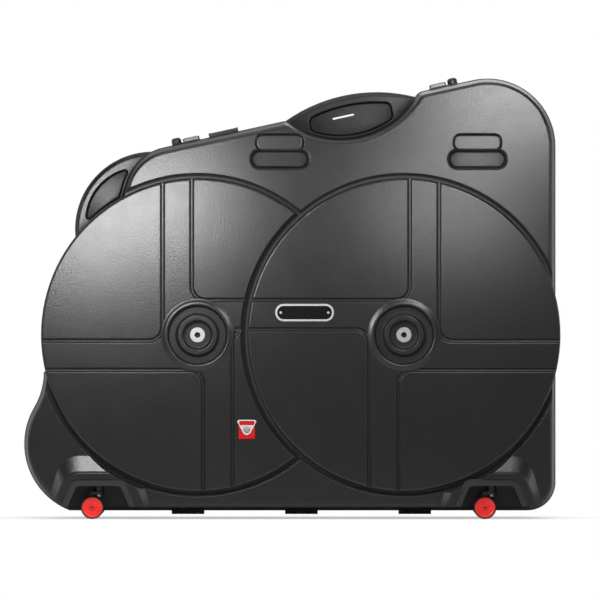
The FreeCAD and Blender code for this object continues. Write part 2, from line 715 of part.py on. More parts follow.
def caster_fork(side):
    """Crown plate and the single leg between the two wheels."""
    x = ARCH_X[side]
    pin = V(x, -CASTER_Y, CROWN_BOTTOM)
    back = pin - V(TRAIL, 0, 0)
    crown = Part.makeCylinder(CROWN_RADIUS, CROWN_HEIGHT, pin).fuse([
        Part.makeCylinder(CROWN_RADIUS, CROWN_HEIGHT, back),
        Part.makeBox(TRAIL, 2 * CROWN_RADIUS, CROWN_HEIGHT, back - V(0, CROWN_RADIUS, 0)),
    ])
    inner = x - KINGPIN_HEAD_RADIUS - LEG_GAP
    outer = x - TRAIL - LEG_RADIUS
    leg_top = CROWN_BOTTOM + CROWN_HEIGHT / 2
    leg = rounded([
        (outer, WHEEL_RADIUS, 0), (x - TRAIL + LEG_RADIUS, WHEEL_RADIUS, 0),
        (inner, CROWN_BOTTOM - KINGPIN_HEAD - LEG_GAP, 0), (inner, leg_top, 0), (outer, leg_top, 0),
    ])
    near = CASTER_Y - LEG_WIDTH / 2
    far = CASTER_Y + LEG_WIDTH / 2
    fork = crown.fuse([slab(leg, near, far), slab(disc(x - TRAIL, WHEEL_RADIUS, LEG_RADIUS), near, far)])
    fork = fork.cut(slab(disc(x - TRAIL, WHEEL_RADIUS, AXLE_RADIUS + FIT), near, far))
    return fork.cut(Part.makeCylinder(KINGPIN_RADIUS, CROWN_HEIGHT, pin)).removeSplitter()


def caster_kingpin(side):
    """Upright pin that carries a fork and turns in the boss of its cup."""
    head = CROWN_BOTTOM - KINGPIN_HEAD
    return upright([
        (0, head, 0), (KINGPIN_HEAD_RADIUS, head, KINGPIN_HEAD_ROUNDING),
        (KINGPIN_HEAD_RADIUS, CROWN_BOTTOM, 0), (KINGPIN_RADIUS, CROWN_BOTTOM, 0),
        (KINGPIN_RADIUS, KINGPIN_TOP, KINGPIN_TIP_ROUNDING), (0, KINGPIN_TOP, 0),
    ], ARCH_X[side], -CASTER_Y)


def wheel_faces():
    """Inner and outer depth of the two wheels of a caster."""
    step = LEG_WIDTH / 2 + WHEEL_GAP
    return [(CASTER_Y + end * step, CASTER_Y + end * (step + WHEEL_WIDTH)) for end in (-1, 1)]


def caster_axle(side):
    half = LEG_WIDTH / 2 + WHEEL_GAP + WHEEL_WIDTH
    return slab(disc(ARCH_X[side] - TRAIL, WHEEL_RADIUS, AXLE_RADIUS), CASTER_Y - half, CASTER_Y + half)


def caster_wheels(side):
    """Two wheel cores with a shallow dished outer face."""
    core = WHEEL_RADIUS - TYRE
    cores = []
    for inner, outer in wheel_faces():
        step = 1 if outer > inner else -1
        cores.append(turned([
            (AXLE_RADIUS, inner, 0), (core, inner, 0), (core, outer, WHEEL_RIM_ROUNDING),
            (core - WHEEL_RIM, outer, 0),
            (core - WHEEL_RIM - WHEEL_RIM_SLOPE, outer - step * WHEEL_DISH / 2, 0),
            (WHEEL_HUB_RADIUS + WHEEL_HUB_SLOPE, outer - step * WHEEL_DISH, 0),
            (WHEEL_HUB_RADIUS, outer, 0), (AXLE_RADIUS, outer, 0),
        ], ARCH_X[side] - TRAIL, WHEEL_RADIUS))
    return Part.makeCompound(cores)


def caster_tyres(side):
    """Rubber tyres bonded round the two cores."""
    core = WHEEL_RADIUS - TYRE
    tyres = []
    for inner, outer in wheel_faces():
        tyres.append(turned([
            (core, inner, 0), (WHEEL_RADIUS, inner, TYRE_ROUNDING), (WHEEL_RADIUS, outer, TYRE_ROUNDING),
            (core, outer, 0),
        ], ARCH_X[side] - TRAIL, WHEEL_RADIUS))
    return Part.makeCompound(tyres)


def on_top_edge(shape, x):
    """Carry a shape drawn with u along x, n along z to the top edge at station x."""
    moved = shape.copy()
    moved.rotate(V(0, 0, 0), ACROSS, -TOP_SLOPE)
    return moved.translated(at(x, top_z(x)))


def block(u0, u1, y0, y1, n0, n1):
    return Part.makeBox(u1 - u0, y1 - y0, n1 - n0, V(u0, y0, n0))


def across_prism(points, half):
    """Prism along u on a polygon of (y, n) points."""
    corners = [V(-half, y, n) for y, n in points]
    return Part.Face(Part.makePolygon(corners + corners[:1])).extrude(V(2 * half, 0, 0))


def lock_plate(u, y):
    """Plate with rounded corners on the top edge."""
    plate = block(u[0], u[1], y[0], y[1], 0, LOCK_PLATE)
    corners = [e for e in plate.Edges if abs(e.BoundBox.ZLength - LOCK_PLATE) < SAME]
    return plate.makeFillet(LOCK_CORNER, corners)


def lock_base(side):
    """Plate behind the parting plane with two ears for the hasp and a seat for the lock cylinder."""
    outward = TURN_OUT[side]
    ends = sorted((-outward * LOCK_HALF, outward * (CYLINDER_U + CYLINDER_RADIUS)))
    base = lock_plate(ends, (LOCK_NEAR, LOCK_FAR))
    pivot = V(0, HASP_PIVOT_Y, HASP_PIVOT_N)
    near = HASP_PIVOT_Y - HASP_BARREL_RADIUS
    far = HASP_PIVOT_Y + HASP_BARREL_RADIUS
    ears = []
    for end in (-1, 1):
        middle = end * (HASP_HALF + LOCK_GAP + EAR_THICKNESS / 2)
        left = middle - EAR_THICKNESS / 2
        ears.append(rod(pivot + V(middle, 0, 0), HASP_BARREL_RADIUS, EAR_THICKNESS))
        ears.append(block(left, left + EAR_THICKNESS, near, far, LOCK_PLATE / 2, HASP_PIVOT_N))
    pin = rod(pivot, HASP_PIN_RADIUS + FIT, 2 * LOCK_HALF)
    seat = Part.makeCylinder(SPIGOT_RADIUS + FIT, LOCK_PLATE, V(outward * CYLINDER_U, cylinder_y(), 0))
    return on_top_edge(base.fuse(ears).cut([pin, seat]).removeSplitter(), LOCK_X[side])


def cylinder_y():
    return (LOCK_NEAR + LOCK_FAR) / 2


def lock_hasp(side):
    """Hinged hasp that reaches over the parting plane and hooks in front of the keeper."""
    nose = -KEEPER_BAR_Y - KEEPER_BAR - LOCK_GAP
    under = KEEPER_TOP + LOCK_GAP
    top = under + HASP_THICKNESS
    front = nose - HASP_THICKNESS
    lip = LOCK_PLATE + LOCK_GAP
    arm = across_prism([
        (HASP_PIVOT_Y, HASP_PIVOT_N), (HASP_PIVOT_Y + HASP_BARREL_RADIUS, HASP_PIVOT_N),
        (HASP_PIVOT_Y, top), (front + HASP_CHAMFER, top), (front, top - HASP_CHAMFER), (front, lip),
        (nose, lip), (nose, under), (HASP_PIVOT_Y - HASP_BARREL_RADIUS, under),
    ], HASP_HALF)
    pivot = V(0, HASP_PIVOT_Y, HASP_PIVOT_N)
    barrel = rod(pivot, HASP_BARREL_RADIUS, 2 * HASP_HALF)
    pin = rod(pivot, HASP_PIN_RADIUS, 2 * (HASP_HALF + LOCK_GAP + EAR_THICKNESS))
    return on_top_edge(arm.fuse([barrel, pin]).removeSplitter(), LOCK_X[side])


def lock_keeper(side):
    """Plate on the front half with the bar that the hasp hooks over."""
    plate = lock_plate((-LOCK_HALF, LOCK_HALF), (-LOCK_FAR, -LOCK_NEAR))
    far = KEEPER_BAR_Y + KEEPER_BAR
    bar = block(-HASP_HALF, HASP_HALF, -far, -KEEPER_BAR_Y, LOCK_PLATE / 2, KEEPER_TOP)
    return on_top_edge(plate.fuse(bar).removeSplitter(), LOCK_X[side])


def lock_cylinder(side):
    """Domed lock cylinder that a key turns."""
    u = TURN_OUT[side] * CYLINDER_U
    y = cylinder_y()
    top = LOCK_PLATE + CYLINDER_HEIGHT
    dome = upright([
        (0, 0, 0), (SPIGOT_RADIUS, 0, 0), (SPIGOT_RADIUS, LOCK_PLATE, 0), (CYLINDER_RADIUS, LOCK_PLATE, 0),
        (CYLINDER_RADIUS, top, CYLINDER_HEIGHT / 2), (0, top, 0),
    ], u, y)
    across = KEYWAY_WIDTH / 2
    along = KEYWAY_LENGTH / 2
    keyway = block(u - across, u + across, y - along, y + along, top - KEYWAY_DEPTH, top + PAST)
    return on_top_edge(dome.cut(keyway), LOCK_X[side])


def tag_holder():
    """Base strip with two end posts that grip the window."""
    base = block(-TAG_HALF, TAG_HALF, -TAG_FAR, -TAG_NEAR, 0, TAG_BASE)
    posts = [block(left, left + TAG_POST, -TAG_FAR, -TAG_NEAR, TAG_BASE / 2, TAG_HEIGHT)
             for left in (-TAG_HALF, TAG_HALF - TAG_POST)]
    holder = base.fuse(posts).removeSplitter()
    width = TAG_FAR - TAG_NEAR
    boxes = [(e, e.BoundBox) for e in holder.Edges]
    ends = [e for e, box in boxes if abs(box.YLength - width) < SAME and box.ZMin > TAG_HEIGHT - SAME]
    holder = holder.makeFillet(TAG_ROUNDING, ends)
    return on_top_edge(holder.cut(tag_window_form()), TAG_X)


def tag_window_form():
    half = TAG_HALF - TAG_POST + TAG_BITE
    near = TAG_NEAR + TAG_WINDOW_MARGIN
    far = TAG_FAR - TAG_WINDOW_MARGIN
    return block(-half, half, -far, -near, TAG_WINDOW_N, TAG_WINDOW_N + TAG_WINDOW)


def tag_window():
    return on_top_edge(tag_window_form(), TAG_X)


def nameplate_outline():
    return box_outline(PLATE_X, PLATE_Z, PLATE_LENGTH, PLATE_HEIGHT, (PLATE_HEIGHT - PLATE_END_FLAT) / 2)


def nameplate_bezel():
    """Raised frame round the nameplate."""
    outline = nameplate_outline()
    bezel = slab(outline, DISC_DEPTH, DISC_DEPTH + BEZEL_HEIGHT)
    bezel = bezel.makeFillet(BEZEL_ROUNDING, edges_at_depth(bezel, DISC_DEPTH + BEZEL_HEIGHT))
    return bezel.cut(slab(grown(outline, -BEZEL_WIDTH), DISC_DEPTH, DISC_DEPTH + PAST))


def rivet_points():
    return [(PLATE_X + end * PLATE_RIVET_X, PLATE_Z) for end in (-1, 1)]


def nameplate_plate():
    plate = slab(grown(nameplate_outline(), -BEZEL_WIDTH), DISC_DEPTH, DISC_DEPTH + PLATE_THICKNESS)
    holes = [slab(disc(x, z, PLATE_SHANK_RADIUS), 0, DISC_DEPTH + PAST) for x, z in rivet_points()]
    return plate.cut(holes)


def rivet(x, z, seat, shank, head_radius, head_height):
    """Domed rivet through the pieces between a bay's face and the depth of its seat."""
    top = seat + head_height
    return turned([
        (0, DISC_DEPTH, 0), (shank, DISC_DEPTH, 0), (shank, seat, 0), (head_radius, seat, 0),
        (head_radius, top, head_height - RIVET_FLANK), (0, top, 0),
    ], x, z)


def nameplate_rivets():
    seat = DISC_DEPTH + PLATE_THICKNESS
    sizes = (seat, PLATE_SHANK_RADIUS, PLATE_RIVET_RADIUS, PLATE_RIVET_HEIGHT)
    return Part.makeCompound([rivet(x, z, *sizes) for x, z in rivet_points()])


def anchor_hole():
    return slab(disc(ANCHOR_X, ANCHOR_Z + ANCHOR_RIVET_Z, ANCHOR_SHANK_RADIUS), 0, DISC_DEPTH + PAST)


def strap_webbing():
    """Webbing tab under the anchor plate."""
    height = WEBBING_TOP - WEBBING_BOTTOM
    middle = ANCHOR_Z + (WEBBING_TOP + WEBBING_BOTTOM) / 2
    outline = box_outline(ANCHOR_X, middle, WEBBING_WIDTH, height, WEBBING_ROUNDING)
    return slab(outline, DISC_DEPTH, DISC_DEPTH + WEBBING).cut(anchor_hole())


def strap_anchor():
    """Steel plate with a slot for a strap, wider at the top."""
    near = DISC_DEPTH + WEBBING
    low = ANCHOR_Z - ANCHOR_HEIGHT / 2
    high = ANCHOR_Z + ANCHOR_HEIGHT / 2
    ends = [(-ANCHOR_FOOT, low), (ANCHOR_FOOT, low), (ANCHOR_WIDTH, high), (-ANCHOR_WIDTH, high)]
    outline = rounded([(ANCHOR_X + width / 2, z, ANCHOR_RADIUS) for width, z in ends])
    plate = slab(outline, near, near + ANCHOR_PLATE)
    slot_z = ANCHOR_Z + ANCHOR_SLOT_Z
    slot = box_outline(ANCHOR_X, slot_z, ANCHOR_SLOT_LENGTH, ANCHOR_SLOT_HEIGHT, ANCHOR_SLOT_ROUNDING)
    return plate.cut([slab(slot, near, near + PAST), anchor_hole()])


def strap_rivet():
    seat = DISC_DEPTH + WEBBING + ANCHOR_PLATE
    place = (ANCHOR_X, ANCHOR_Z + ANCHOR_RIVET_Z)
    return rivet(*place, seat, ANCHOR_SHANK_RADIUS, ANCHOR_RIVET_RADIUS, ANCHOR_RIVET_HEIGHT)


def hinge_knuckle_spans(own):
    """Stretches of the barrel that belong to one leaf; the front leaf owns the even ones."""
    length = 2 * HINGE_HALF / HINGE_KNUCKLES
    spans = []
    for i in range(HINGE_KNUCKLES):
        if i % 2 == own:
            start = -HINGE_HALF + i * length
            spans.append((start + HINGE_GAP / 2, length - HINGE_GAP))
    return spans


def hinge_leaves(own):
    """Leaves under the bottom edge, in front of the parting plane; the rear ones are mirrored."""
    under = FLOOR_GAP - HINGE_LEAF
    leaves = []
    clear = HINGE_KNUCKLE_RADIUS + HINGE_GAP
    tongue = clear + HINGE_LAP
    for x in HINGE_X:
        leaf = block(x - HINGE_HALF, x + HINGE_HALF, -HINGE_LEAF_FAR, -clear, under, FLOOR_GAP)
        pieces = []
        for start, length in hinge_knuckle_spans(own):
            pieces.append(rod(at(x + start + length / 2, HINGE_Z), HINGE_KNUCKLE_RADIUS, length))
            pieces.append(block(x + start, x + start + length, -tongue, 0, under, FLOOR_GAP - SEAL_GAP))
        bore = rod(at(x, HINGE_Z), HINGE_PIN_RADIUS + FIT, 2 * HINGE_HALF)
        leaves.append(leaf.fuse(pieces).cut(bore).removeSplitter())
    return Part.makeCompound(leaves)


def hinge_pins():
    return Part.makeCompound([rod(at(x, HINGE_Z), HINGE_PIN_RADIUS, 2 * HINGE_HALF) for x in HINGE_X])


def rim_seal():
    """Rubber seal in the groove of the rear rim."""
    return mirrored(rim_ring(SEAL_INSET, SEAL_INSET + SEAL_WIDTH, SEAL_GAP, SEAL_DEPTH))


def wheel_pads():
    """Foam rings inside the two wheel bays; the right one is whole, the left one makes room for it."""
    back = DISC_DEPTH - SEAM_DEPTH - WALL - PAD_GAP
    pads = {}
    for side in HUB_X:
        pads[side] = turned([
            (PAD_INNER_RADIUS, back - PAD_THICKNESS, PAD_EDGE_RADIUS),
            (PAD_OUTER_RADIUS, back - PAD_THICKNESS, PAD_EDGE_RADIUS),
            (PAD_OUTER_RADIUS, back, 0), (PAD_INNER_RADIUS, back, 0),
        ], HUB_X[side], HUB_Z)
    room = DISC_RADIUS + MOAT_WIDTH + MOAT_FLARE + WALL + PAD_EDGE_RADIUS
    pads["left"] = pads["left"].cut(slab(disc(HUB_X["right"], HUB_Z, room), 0, DISC_DEPTH))
    return Part.makeCompound([pad.Solids[0] for pad in pads.values()])


def build():
    """Every node of the case by name."""
    nodes = {}
    front_walls = half_walls()
    rear_walls = front_walls.copy()
    nodes["front_shell"] = front_walls.fuse(rim_flange())
    nodes["rear_shell"] = mirrored(rear_walls.fuse(rim_flange().cut(seal_groove())))
    nodes["rim_seal"] = rim_seal()
    halves = {"front": lambda shape: shape, "rear": mirrored}
    for half, place in halves.items():
        for side in ("left", "right"):
            name = half + "_" + side
            nodes[name + "_hub_bush"] = place(hub_bush(side))
            nodes[name + "_grip_paddle"] = place(grip_paddle(side))
            nodes[name + "_caster_cup"] = place(caster_cup(side))
            nodes[name + "_caster_fork"] = place(caster_fork(side))
            nodes[name + "_caster_kingpin"] = place(caster_kingpin(side))
            nodes[name + "_caster_axle"] = place(caster_axle(side))
            nodes[name + "_caster_wheels"] = place(caster_wheels(side))
            nodes[name + "_caster_tyres"] = place(caster_tyres(side))
        nodes[half + "_hub_nuts"] = place(Part.makeCompound([hub_nut(side) for side in HUB_X]))
        nodes[half + "_wheel_pads"] = place(wheel_pads())
    nodes["front_hinge_leaves"] = hinge_leaves(0)
    nodes["rear_hinge_leaves"] = mirrored(hinge_leaves(1))
    nodes["hinge_pins"] = hinge_pins()
    for side in LOCK_X:
        nodes[side + "_lock_base"] = lock_base(side)
        nodes[side + "_lock_hasp"] = lock_hasp(side)
        nodes[side + "_lock_keeper"] = lock_keeper(side)
        nodes[side + "_lock_cylinder"] = lock_cylinder(side)
    nodes["tag_holder"] = tag_holder()
    nodes["tag_window"] = tag_window()
    nodes["nameplate_bezel"] = nameplate_bezel()
    nodes["nameplate_plate"] = nameplate_plate()
    nodes["nameplate_rivets"] = nameplate_rivets()
    nodes["strap_webbing"] = strap_webbing()
    nodes["strap_anchor"] = strap_anchor()
    nodes["strap_rivet"] = strap_rivet()
    return nodes


os.makedirs("parts", exist_ok=True)
for node, shape in build().items():
    shape.exportStep("parts/" + node + ".step")
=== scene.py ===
"""Dresses the bike travel case: finishes, soft pieces, fasteners, floor, light and camera."""
import json
import math

import bmesh
import bpy
from mathutils import Matrix, Vector

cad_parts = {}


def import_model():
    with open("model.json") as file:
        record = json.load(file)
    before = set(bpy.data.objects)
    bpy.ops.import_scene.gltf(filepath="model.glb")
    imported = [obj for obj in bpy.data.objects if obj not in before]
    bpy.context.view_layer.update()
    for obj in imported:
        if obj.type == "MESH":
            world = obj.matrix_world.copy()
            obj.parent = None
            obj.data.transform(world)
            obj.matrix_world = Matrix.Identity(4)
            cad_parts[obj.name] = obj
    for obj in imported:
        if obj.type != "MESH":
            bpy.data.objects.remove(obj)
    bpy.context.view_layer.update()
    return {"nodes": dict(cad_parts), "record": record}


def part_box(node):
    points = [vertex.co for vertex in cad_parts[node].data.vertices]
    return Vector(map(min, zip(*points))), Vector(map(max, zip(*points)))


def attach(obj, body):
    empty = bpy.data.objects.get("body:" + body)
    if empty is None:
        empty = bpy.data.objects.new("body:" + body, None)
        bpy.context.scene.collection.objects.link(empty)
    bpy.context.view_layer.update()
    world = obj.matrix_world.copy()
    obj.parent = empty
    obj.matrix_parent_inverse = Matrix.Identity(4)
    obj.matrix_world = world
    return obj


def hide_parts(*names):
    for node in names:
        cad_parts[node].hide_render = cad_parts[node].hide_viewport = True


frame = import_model()
nodes = frame["nodes"]

HALVES = {"front": -1, "rear": 1}       # the way each half faces along y
SIDES = {"left": -1, "right": 1}        # the way outward along x
HUB_X = {"left": -0.208, "right": 0.245}
HUB_Z = 0.404
TOP_X, TOP_Z = -0.344, 0.804            # a point on the sloping top edge
TOP_SLOPE = math.radians(12.27)
ALONG_EDGE = Vector((math.cos(TOP_SLOPE), 0, math.sin(TOP_SLOPE)))
UP_EDGE = Vector((-math.sin(TOP_SLOPE), 0, math.cos(TOP_SLOPE)))


# Materials

DUST_AND_PAINTED_FILL = (0.06, 0.06, 0.058)              # colour of narrow grooves: dust, and painted fill light that lifts the shade in them
HOLLOW_REACH = 0.045                    # how far a wall shades a recess
GROOVE = (0.12, 0.5)                    # openness of a groove with full dust and painted fill light and of one without
RECESS = (0.3, 0.8)                     # openness of a dull recess and of the polished face
SIDE = (0.2, 0.75)                      # turn to front or back of a dull side and of the polished face
DULL_ROUGHNESS = 0.22                   # added where the plastic is dull
FACE_GLOSS, DULL_GLOSS = 0.5, 0.12      # specular levels
RUBBED = 0.012                          # change of roughness in rubbed patches
MIX_FACTOR, MIX_A, MIX_B, MIX_RESULT = 0, 6, 7, 2       # a mix node's sockets for colours


def material(name):
    """New node material, its tree, its shader and its object coordinates."""
    mat = bpy.data.materials.new(name)
    mat.use_nodes = True
    tree = mat.node_tree
    shader = tree.nodes["Principled BSDF"]
    coords = tree.nodes.new("ShaderNodeTexCoord")
    return mat, tree, shader, coords.outputs["Object"]


def y_of(tree, kind):
    """The y of a texture coordinate."""
    coords = tree.nodes.new("ShaderNodeTexCoord")
    parts = tree.nodes.new("ShaderNodeSeparateXYZ")
    tree.links.new(coords.outputs[kind], parts.inputs["Vector"])
    return parts.outputs["Y"]


def noise(tree, vector, scale, detail=3.0, roughness=0.5):
    node = tree.nodes.new("ShaderNodeTexNoise")
    node.inputs["Scale"].default_value = scale
    node.inputs["Detail"].default_value = detail
    node.inputs["Roughness"].default_value = roughness
    tree.links.new(vector, node.inputs["Vector"])
    return node.outputs["Fac"]


def brushed(tree, vector, stretch, scale, detail, roughness=0.5):
    """Noise drawn out into lines; stretch scales it per axis."""
    mapping = tree.nodes.new("ShaderNodeMapping")
    mapping.inputs["Scale"].default_value = stretch
    tree.links.new(vector, mapping.inputs["Vector"])
    return noise(tree, mapping.outputs["Vector"], scale, detail, roughness)


def cells(tree, vector, scale):
    node = tree.nodes.new("ShaderNodeTexVoronoi")
    node.inputs["Scale"].default_value = scale
    tree.links.new(vector, node.inputs["Vector"])
    return node.outputs["Distance"]


def ramp(tree, value, stops):
    """Colour ramp through (position, colour) stops."""
    node = tree.nodes.new("ShaderNodeValToRGB")
    points = node.color_ramp.elements
    while len(points) < len(stops):
        points.new(0.5)
    for point, (place, colour) in zip(points, stops):
        point.position = place
        point.color = (*colour, 1.0)
    tree.links.new(value, node.inputs["Fac"])
    return node.outputs["Color"]


def grey(value):
    return (value, value, value)


def toned(colour, factor):
    return tuple(c * factor for c in colour)


def mixed(tree, factor, a, b):
    """Blend of two values; factor is a number."""
    node = tree.nodes.new("ShaderNodeMix")
    node.inputs["Factor"].default_value = factor
    tree.links.new(a, node.inputs["A"])
    tree.links.new(b, node.inputs["B"])
    return node.outputs["Result"]


def bump(tree, shader, height, strength, distance, rounding=None):
    """Relief of a texture, on edges softened by the given rounding or on top of the relief there is."""
    node = tree.nodes.new("ShaderNodeBump")
    node.inputs["Strength"].default_value = strength
    node.inputs["Distance"].default_value = distance
    tree.links.new(height, node.inputs["Height"])
    if rounding:
        soft = tree.nodes.new("ShaderNodeBevel")
        soft.samples = 6
        soft.inputs["Radius"].default_value = rounding
        tree.links.new(soft.outputs["Normal"], node.inputs["Normal"])
    elif shader.inputs["Normal"].is_linked:
        tree.links.new(shader.inputs["Normal"].links[0].from_socket, node.inputs["Normal"])
    tree.links.new(node.outputs["Normal"], shader.inputs["Normal"])


def math_node(tree, operation, a, b):
    """a is a socket; b is a socket or a number."""
    node = tree.nodes.new("ShaderNodeMath")
    node.operation = operation
    tree.links.new(a, node.inputs[0])
    if isinstance(b, float):
        node.inputs[1].default_value = b
    else:
        tree.links.new(b, node.inputs[1])
    return node.outputs[0]


def spread(tree, value, low, high, start, end):
    """Maps low..high to start..end."""
    node = tree.nodes.new("ShaderNodeMapRange")
    node.inputs["From Min"].default_value = low
    node.inputs["From Max"].default_value = high
    node.inputs["To Min"].default_value = start
    node.inputs["To Max"].default_value = end
    tree.links.new(value, node.inputs["Value"])
    return node.outputs["Result"]


def dulled(tree):
    """How much dust and painted fill light lift a groove, and how dull the plastic is, both from 0 to 1.

    It is dull in recesses and on the outer sides, and polished by handling on the face.
    """
    hollow = tree.nodes.new("ShaderNodeAmbientOcclusion")
    hollow.samples = 4
    hollow.inputs["Distance"].default_value = HOLLOW_REACH
    facing = math_node(tree, "ABSOLUTE", y_of(tree, "Normal"), 0.0)
    # where occlusion is deep the grooves get dust and painted fill light over their shade
    groove = spread(tree, hollow.outputs["AO"], *GROOVE, 1.0, 0.0)
    recess = spread(tree, hollow.outputs["AO"], *RECESS, 1.0, 0.0)
    side = spread(tree, facing, *SIDE, 1.0, 0.0)
    return groove, math_node(tree, "MAXIMUM", recess, side)


def dust_and_painted_fill(tree, groove, tint):
    """The tint, lighter in the grooves: dust, and painted fill light over their shade."""
    node = tree.nodes.new("ShaderNodeMix")
    node.data_type = "RGBA"
    node.inputs[MIX_B].default_value = (*DUST_AND_PAINTED_FILL, 1.0)
    tree.links.new(groove, node.inputs[MIX_FACTOR])
    tree.links.new(tint, node.inputs[MIX_A])
    return node.outputs[MIX_RESULT]


def moulded(name, colour, rough, grain, depth, rounding=0.0025, handled_and_painted_fill=False):
    """Moulded plastic: leathery cells of the given size, faint cloudiness and rubbed patches.

    Handled plastic is also a little wavy, dull in its recesses and lighter in its grooves, with dust and painted
    fill light over their shade.
    """
    mat, tree, shader, place = material(name)
    clouds = noise(tree, place, scale=9.0, detail=4.0)
    tint = ramp(tree, clouds, [(0.3, toned(colour, 0.86)), (0.7, toned(colour, 1.14))])
    patches = noise(tree, place, scale=22.0, detail=5.0, roughness=0.6)
    worn = spread(tree, patches, 0.35, 0.65, rough - RUBBED, rough + RUBBED)
    if handled_and_painted_fill:
        groove, dull = dulled(tree)
        # base colour lighter in grooves: dust, and painted fill light over their shade
        tint = dust_and_painted_fill(tree, groove, tint)
        worn = math_node(tree, "ADD", worn, math_node(tree, "MULTIPLY", dull, DULL_ROUGHNESS))
        gloss = spread(tree, dull, 0.0, 1.0, FACE_GLOSS, DULL_GLOSS)
        tree.links.new(gloss, shader.inputs["Specular IOR Level"])
    tree.links.new(tint, shader.inputs["Base Color"])
    tree.links.new(worn, shader.inputs["Roughness"])
    leather = cells(tree, place, scale=1.0 / grain)
    fine = noise(tree, place, scale=2.2 / grain, detail=2.0)
    bump(tree, shader, mixed(tree, 0.35, leather, fine), strength=0.5, distance=depth, rounding=rounding)
    if handled_and_painted_fill:
        waves = noise(tree, place, scale=0.4 / grain, detail=3.0)
        bump(tree, shader, waves, strength=0.5, distance=5.5 * depth)
    return mat


def metal(name, colour, rough, stretch, streak, metallic=1.0):
    """Metal with fine lines; stretch scales the lines per axis and streak is their change of roughness."""
    mat, tree, shader, place = material(name)
    lines = brushed(tree, place, stretch, scale=60.0, detail=4.0, roughness=0.6)
    tint = ramp(tree, lines, [(0.3, toned(colour, 0.88)), (0.7, colour)])
    tree.links.new(tint, shader.inputs["Base Color"])
    shader.inputs["Metallic"].default_value = metallic
    worn = ramp(tree, lines, [(0.3, grey(rough - streak)), (0.7, grey(rough + streak))])
    tree.links.new(worn, shader.inputs["Roughness"])
    bump(tree, shader, lines, strength=0.15, distance=0.00005, rounding=0.0006)
    return mat


def rubber(name, colour):
    mat, tree, shader, place = material(name)
    bloom = noise(tree, place, scale=160.0, detail=3.0)
    tint = ramp(tree, bloom, [(0.3, toned(colour, 0.75)), (0.75, toned(colour, 1.3))])
    tree.links.new(tint, shader.inputs["Base Color"])
    shader.inputs["Roughness"].default_value = 0.72
    bump(tree, shader, noise(tree, place, scale=900.0, detail=2.0), strength=0.3, distance=0.0001)
    return mat


def red_plastic(name):
    mat, tree, shader, place = material(name)
    clouds = noise(tree, place, scale=45.0, detail=4.0)
    tint = ramp(tree, clouds, [(0.3, (0.72, 0.010, 0.007)), (0.7, (0.88, 0.018, 0.011))])
    tree.links.new(tint, shader.inputs["Base Color"])
    patches = noise(tree, place, scale=120.0, detail=4.0)
    worn = ramp(tree, patches, [(0.35, grey(0.3)), (0.7, grey(0.46))])
    tree.links.new(worn, shader.inputs["Roughness"])
    bump(tree, shader, noise(tree, place, scale=500.0, detail=2.0), strength=0.12, distance=0.0001)
    return mat


def foam(name):
    """Open-cell foam: pores of about a millimetre."""
    mat, tree, shader, place = material(name)
    pores = cells(tree, place, scale=700.0)
    tint = ramp(tree, pores, [(0.0, grey(0.022)), (0.6, grey(0.075))])
    tree.links.new(tint, shader.inputs["Base Color"])
    shader.inputs["Roughness"].default_value = 0.95
    shader.inputs["Sheen Weight"].default_value = 0.15
    lumps = noise(tree, place, scale=240.0, detail=3.0)
    bump(tree, shader, mixed(tree, 0.3, pores, lumps), strength=0.7, distance=0.0008)
    return mat


def woven(name, dark, light):
    """Webbing: ribs of yarn along the strap, crossed by picks, on the piece's own UV in millimetres."""
    mat, tree, shader, _ = material(name)
    uv = tree.nodes.new("ShaderNodeUVMap")
    uv.uv_map = "weave"
    waves = []
    for axis, scale in (("X", 0.42), ("Y", 0.3)):
        wave = tree.nodes.new("ShaderNodeTexWave")
        wave.bands_direction = axis
        wave.inputs["Scale"].default_value = scale
        wave.inputs["Distortion"].default_value = 0.25
        tree.links.new(uv.outputs["UV"], wave.inputs["Vector"])
        waves.append(wave.outputs["Fac"])
    ribs, picks = waves
    cloth = mixed(tree, 0.4, ribs, picks)
    tint = ramp(tree, cloth, [(0.15, dark), (0.8, light)])
    tree.links.new(tint, shader.inputs["Base Color"])
    shader.inputs["Roughness"].default_value = 0.8
    shader.inputs["Specular IOR Level"].default_value = 0.2
    bump(tree, shader, cloth, strength=0.6, distance=0.0004)
    return mat


def smoked_window(name):
    mat, tree, shader, place = material(name)
    shader.inputs["Base Color"].default_value = (0.07, 0.07, 0.075, 1.0)
    shader.inputs["Transmission Weight"].default_value = 0.15
    shader.inputs["IOR"].default_value = 1.49
    scuffs = noise(tree, place, scale=150.0, detail=5.0)
    worn = ramp(tree, scuffs, [(0.45, grey(0.06)), (0.75, grey(0.3))])
    tree.links.new(worn, shader.inputs["Roughness"])
    return mat


def gloss_plate(name):
    """Dark lacquered plate with fine lengthwise lines."""
    mat, tree, shader, place = material(name)
    lines = brushed(tree, place, (1.0, 1.0, 90.0), scale=30.0, detail=3.0)
    tint = ramp(tree, lines, [(0.3, grey(0.003)), (0.7, grey(0.008))])
    tree.links.new(tint, shader.inputs["Base Color"])
    shader.inputs["Roughness"].default_value = 0.16
    shader.inputs["Specular IOR Level"].default_value = 0.3
    bump(tree, shader, lines, strength=0.2, distance=0.00004)
    return mat


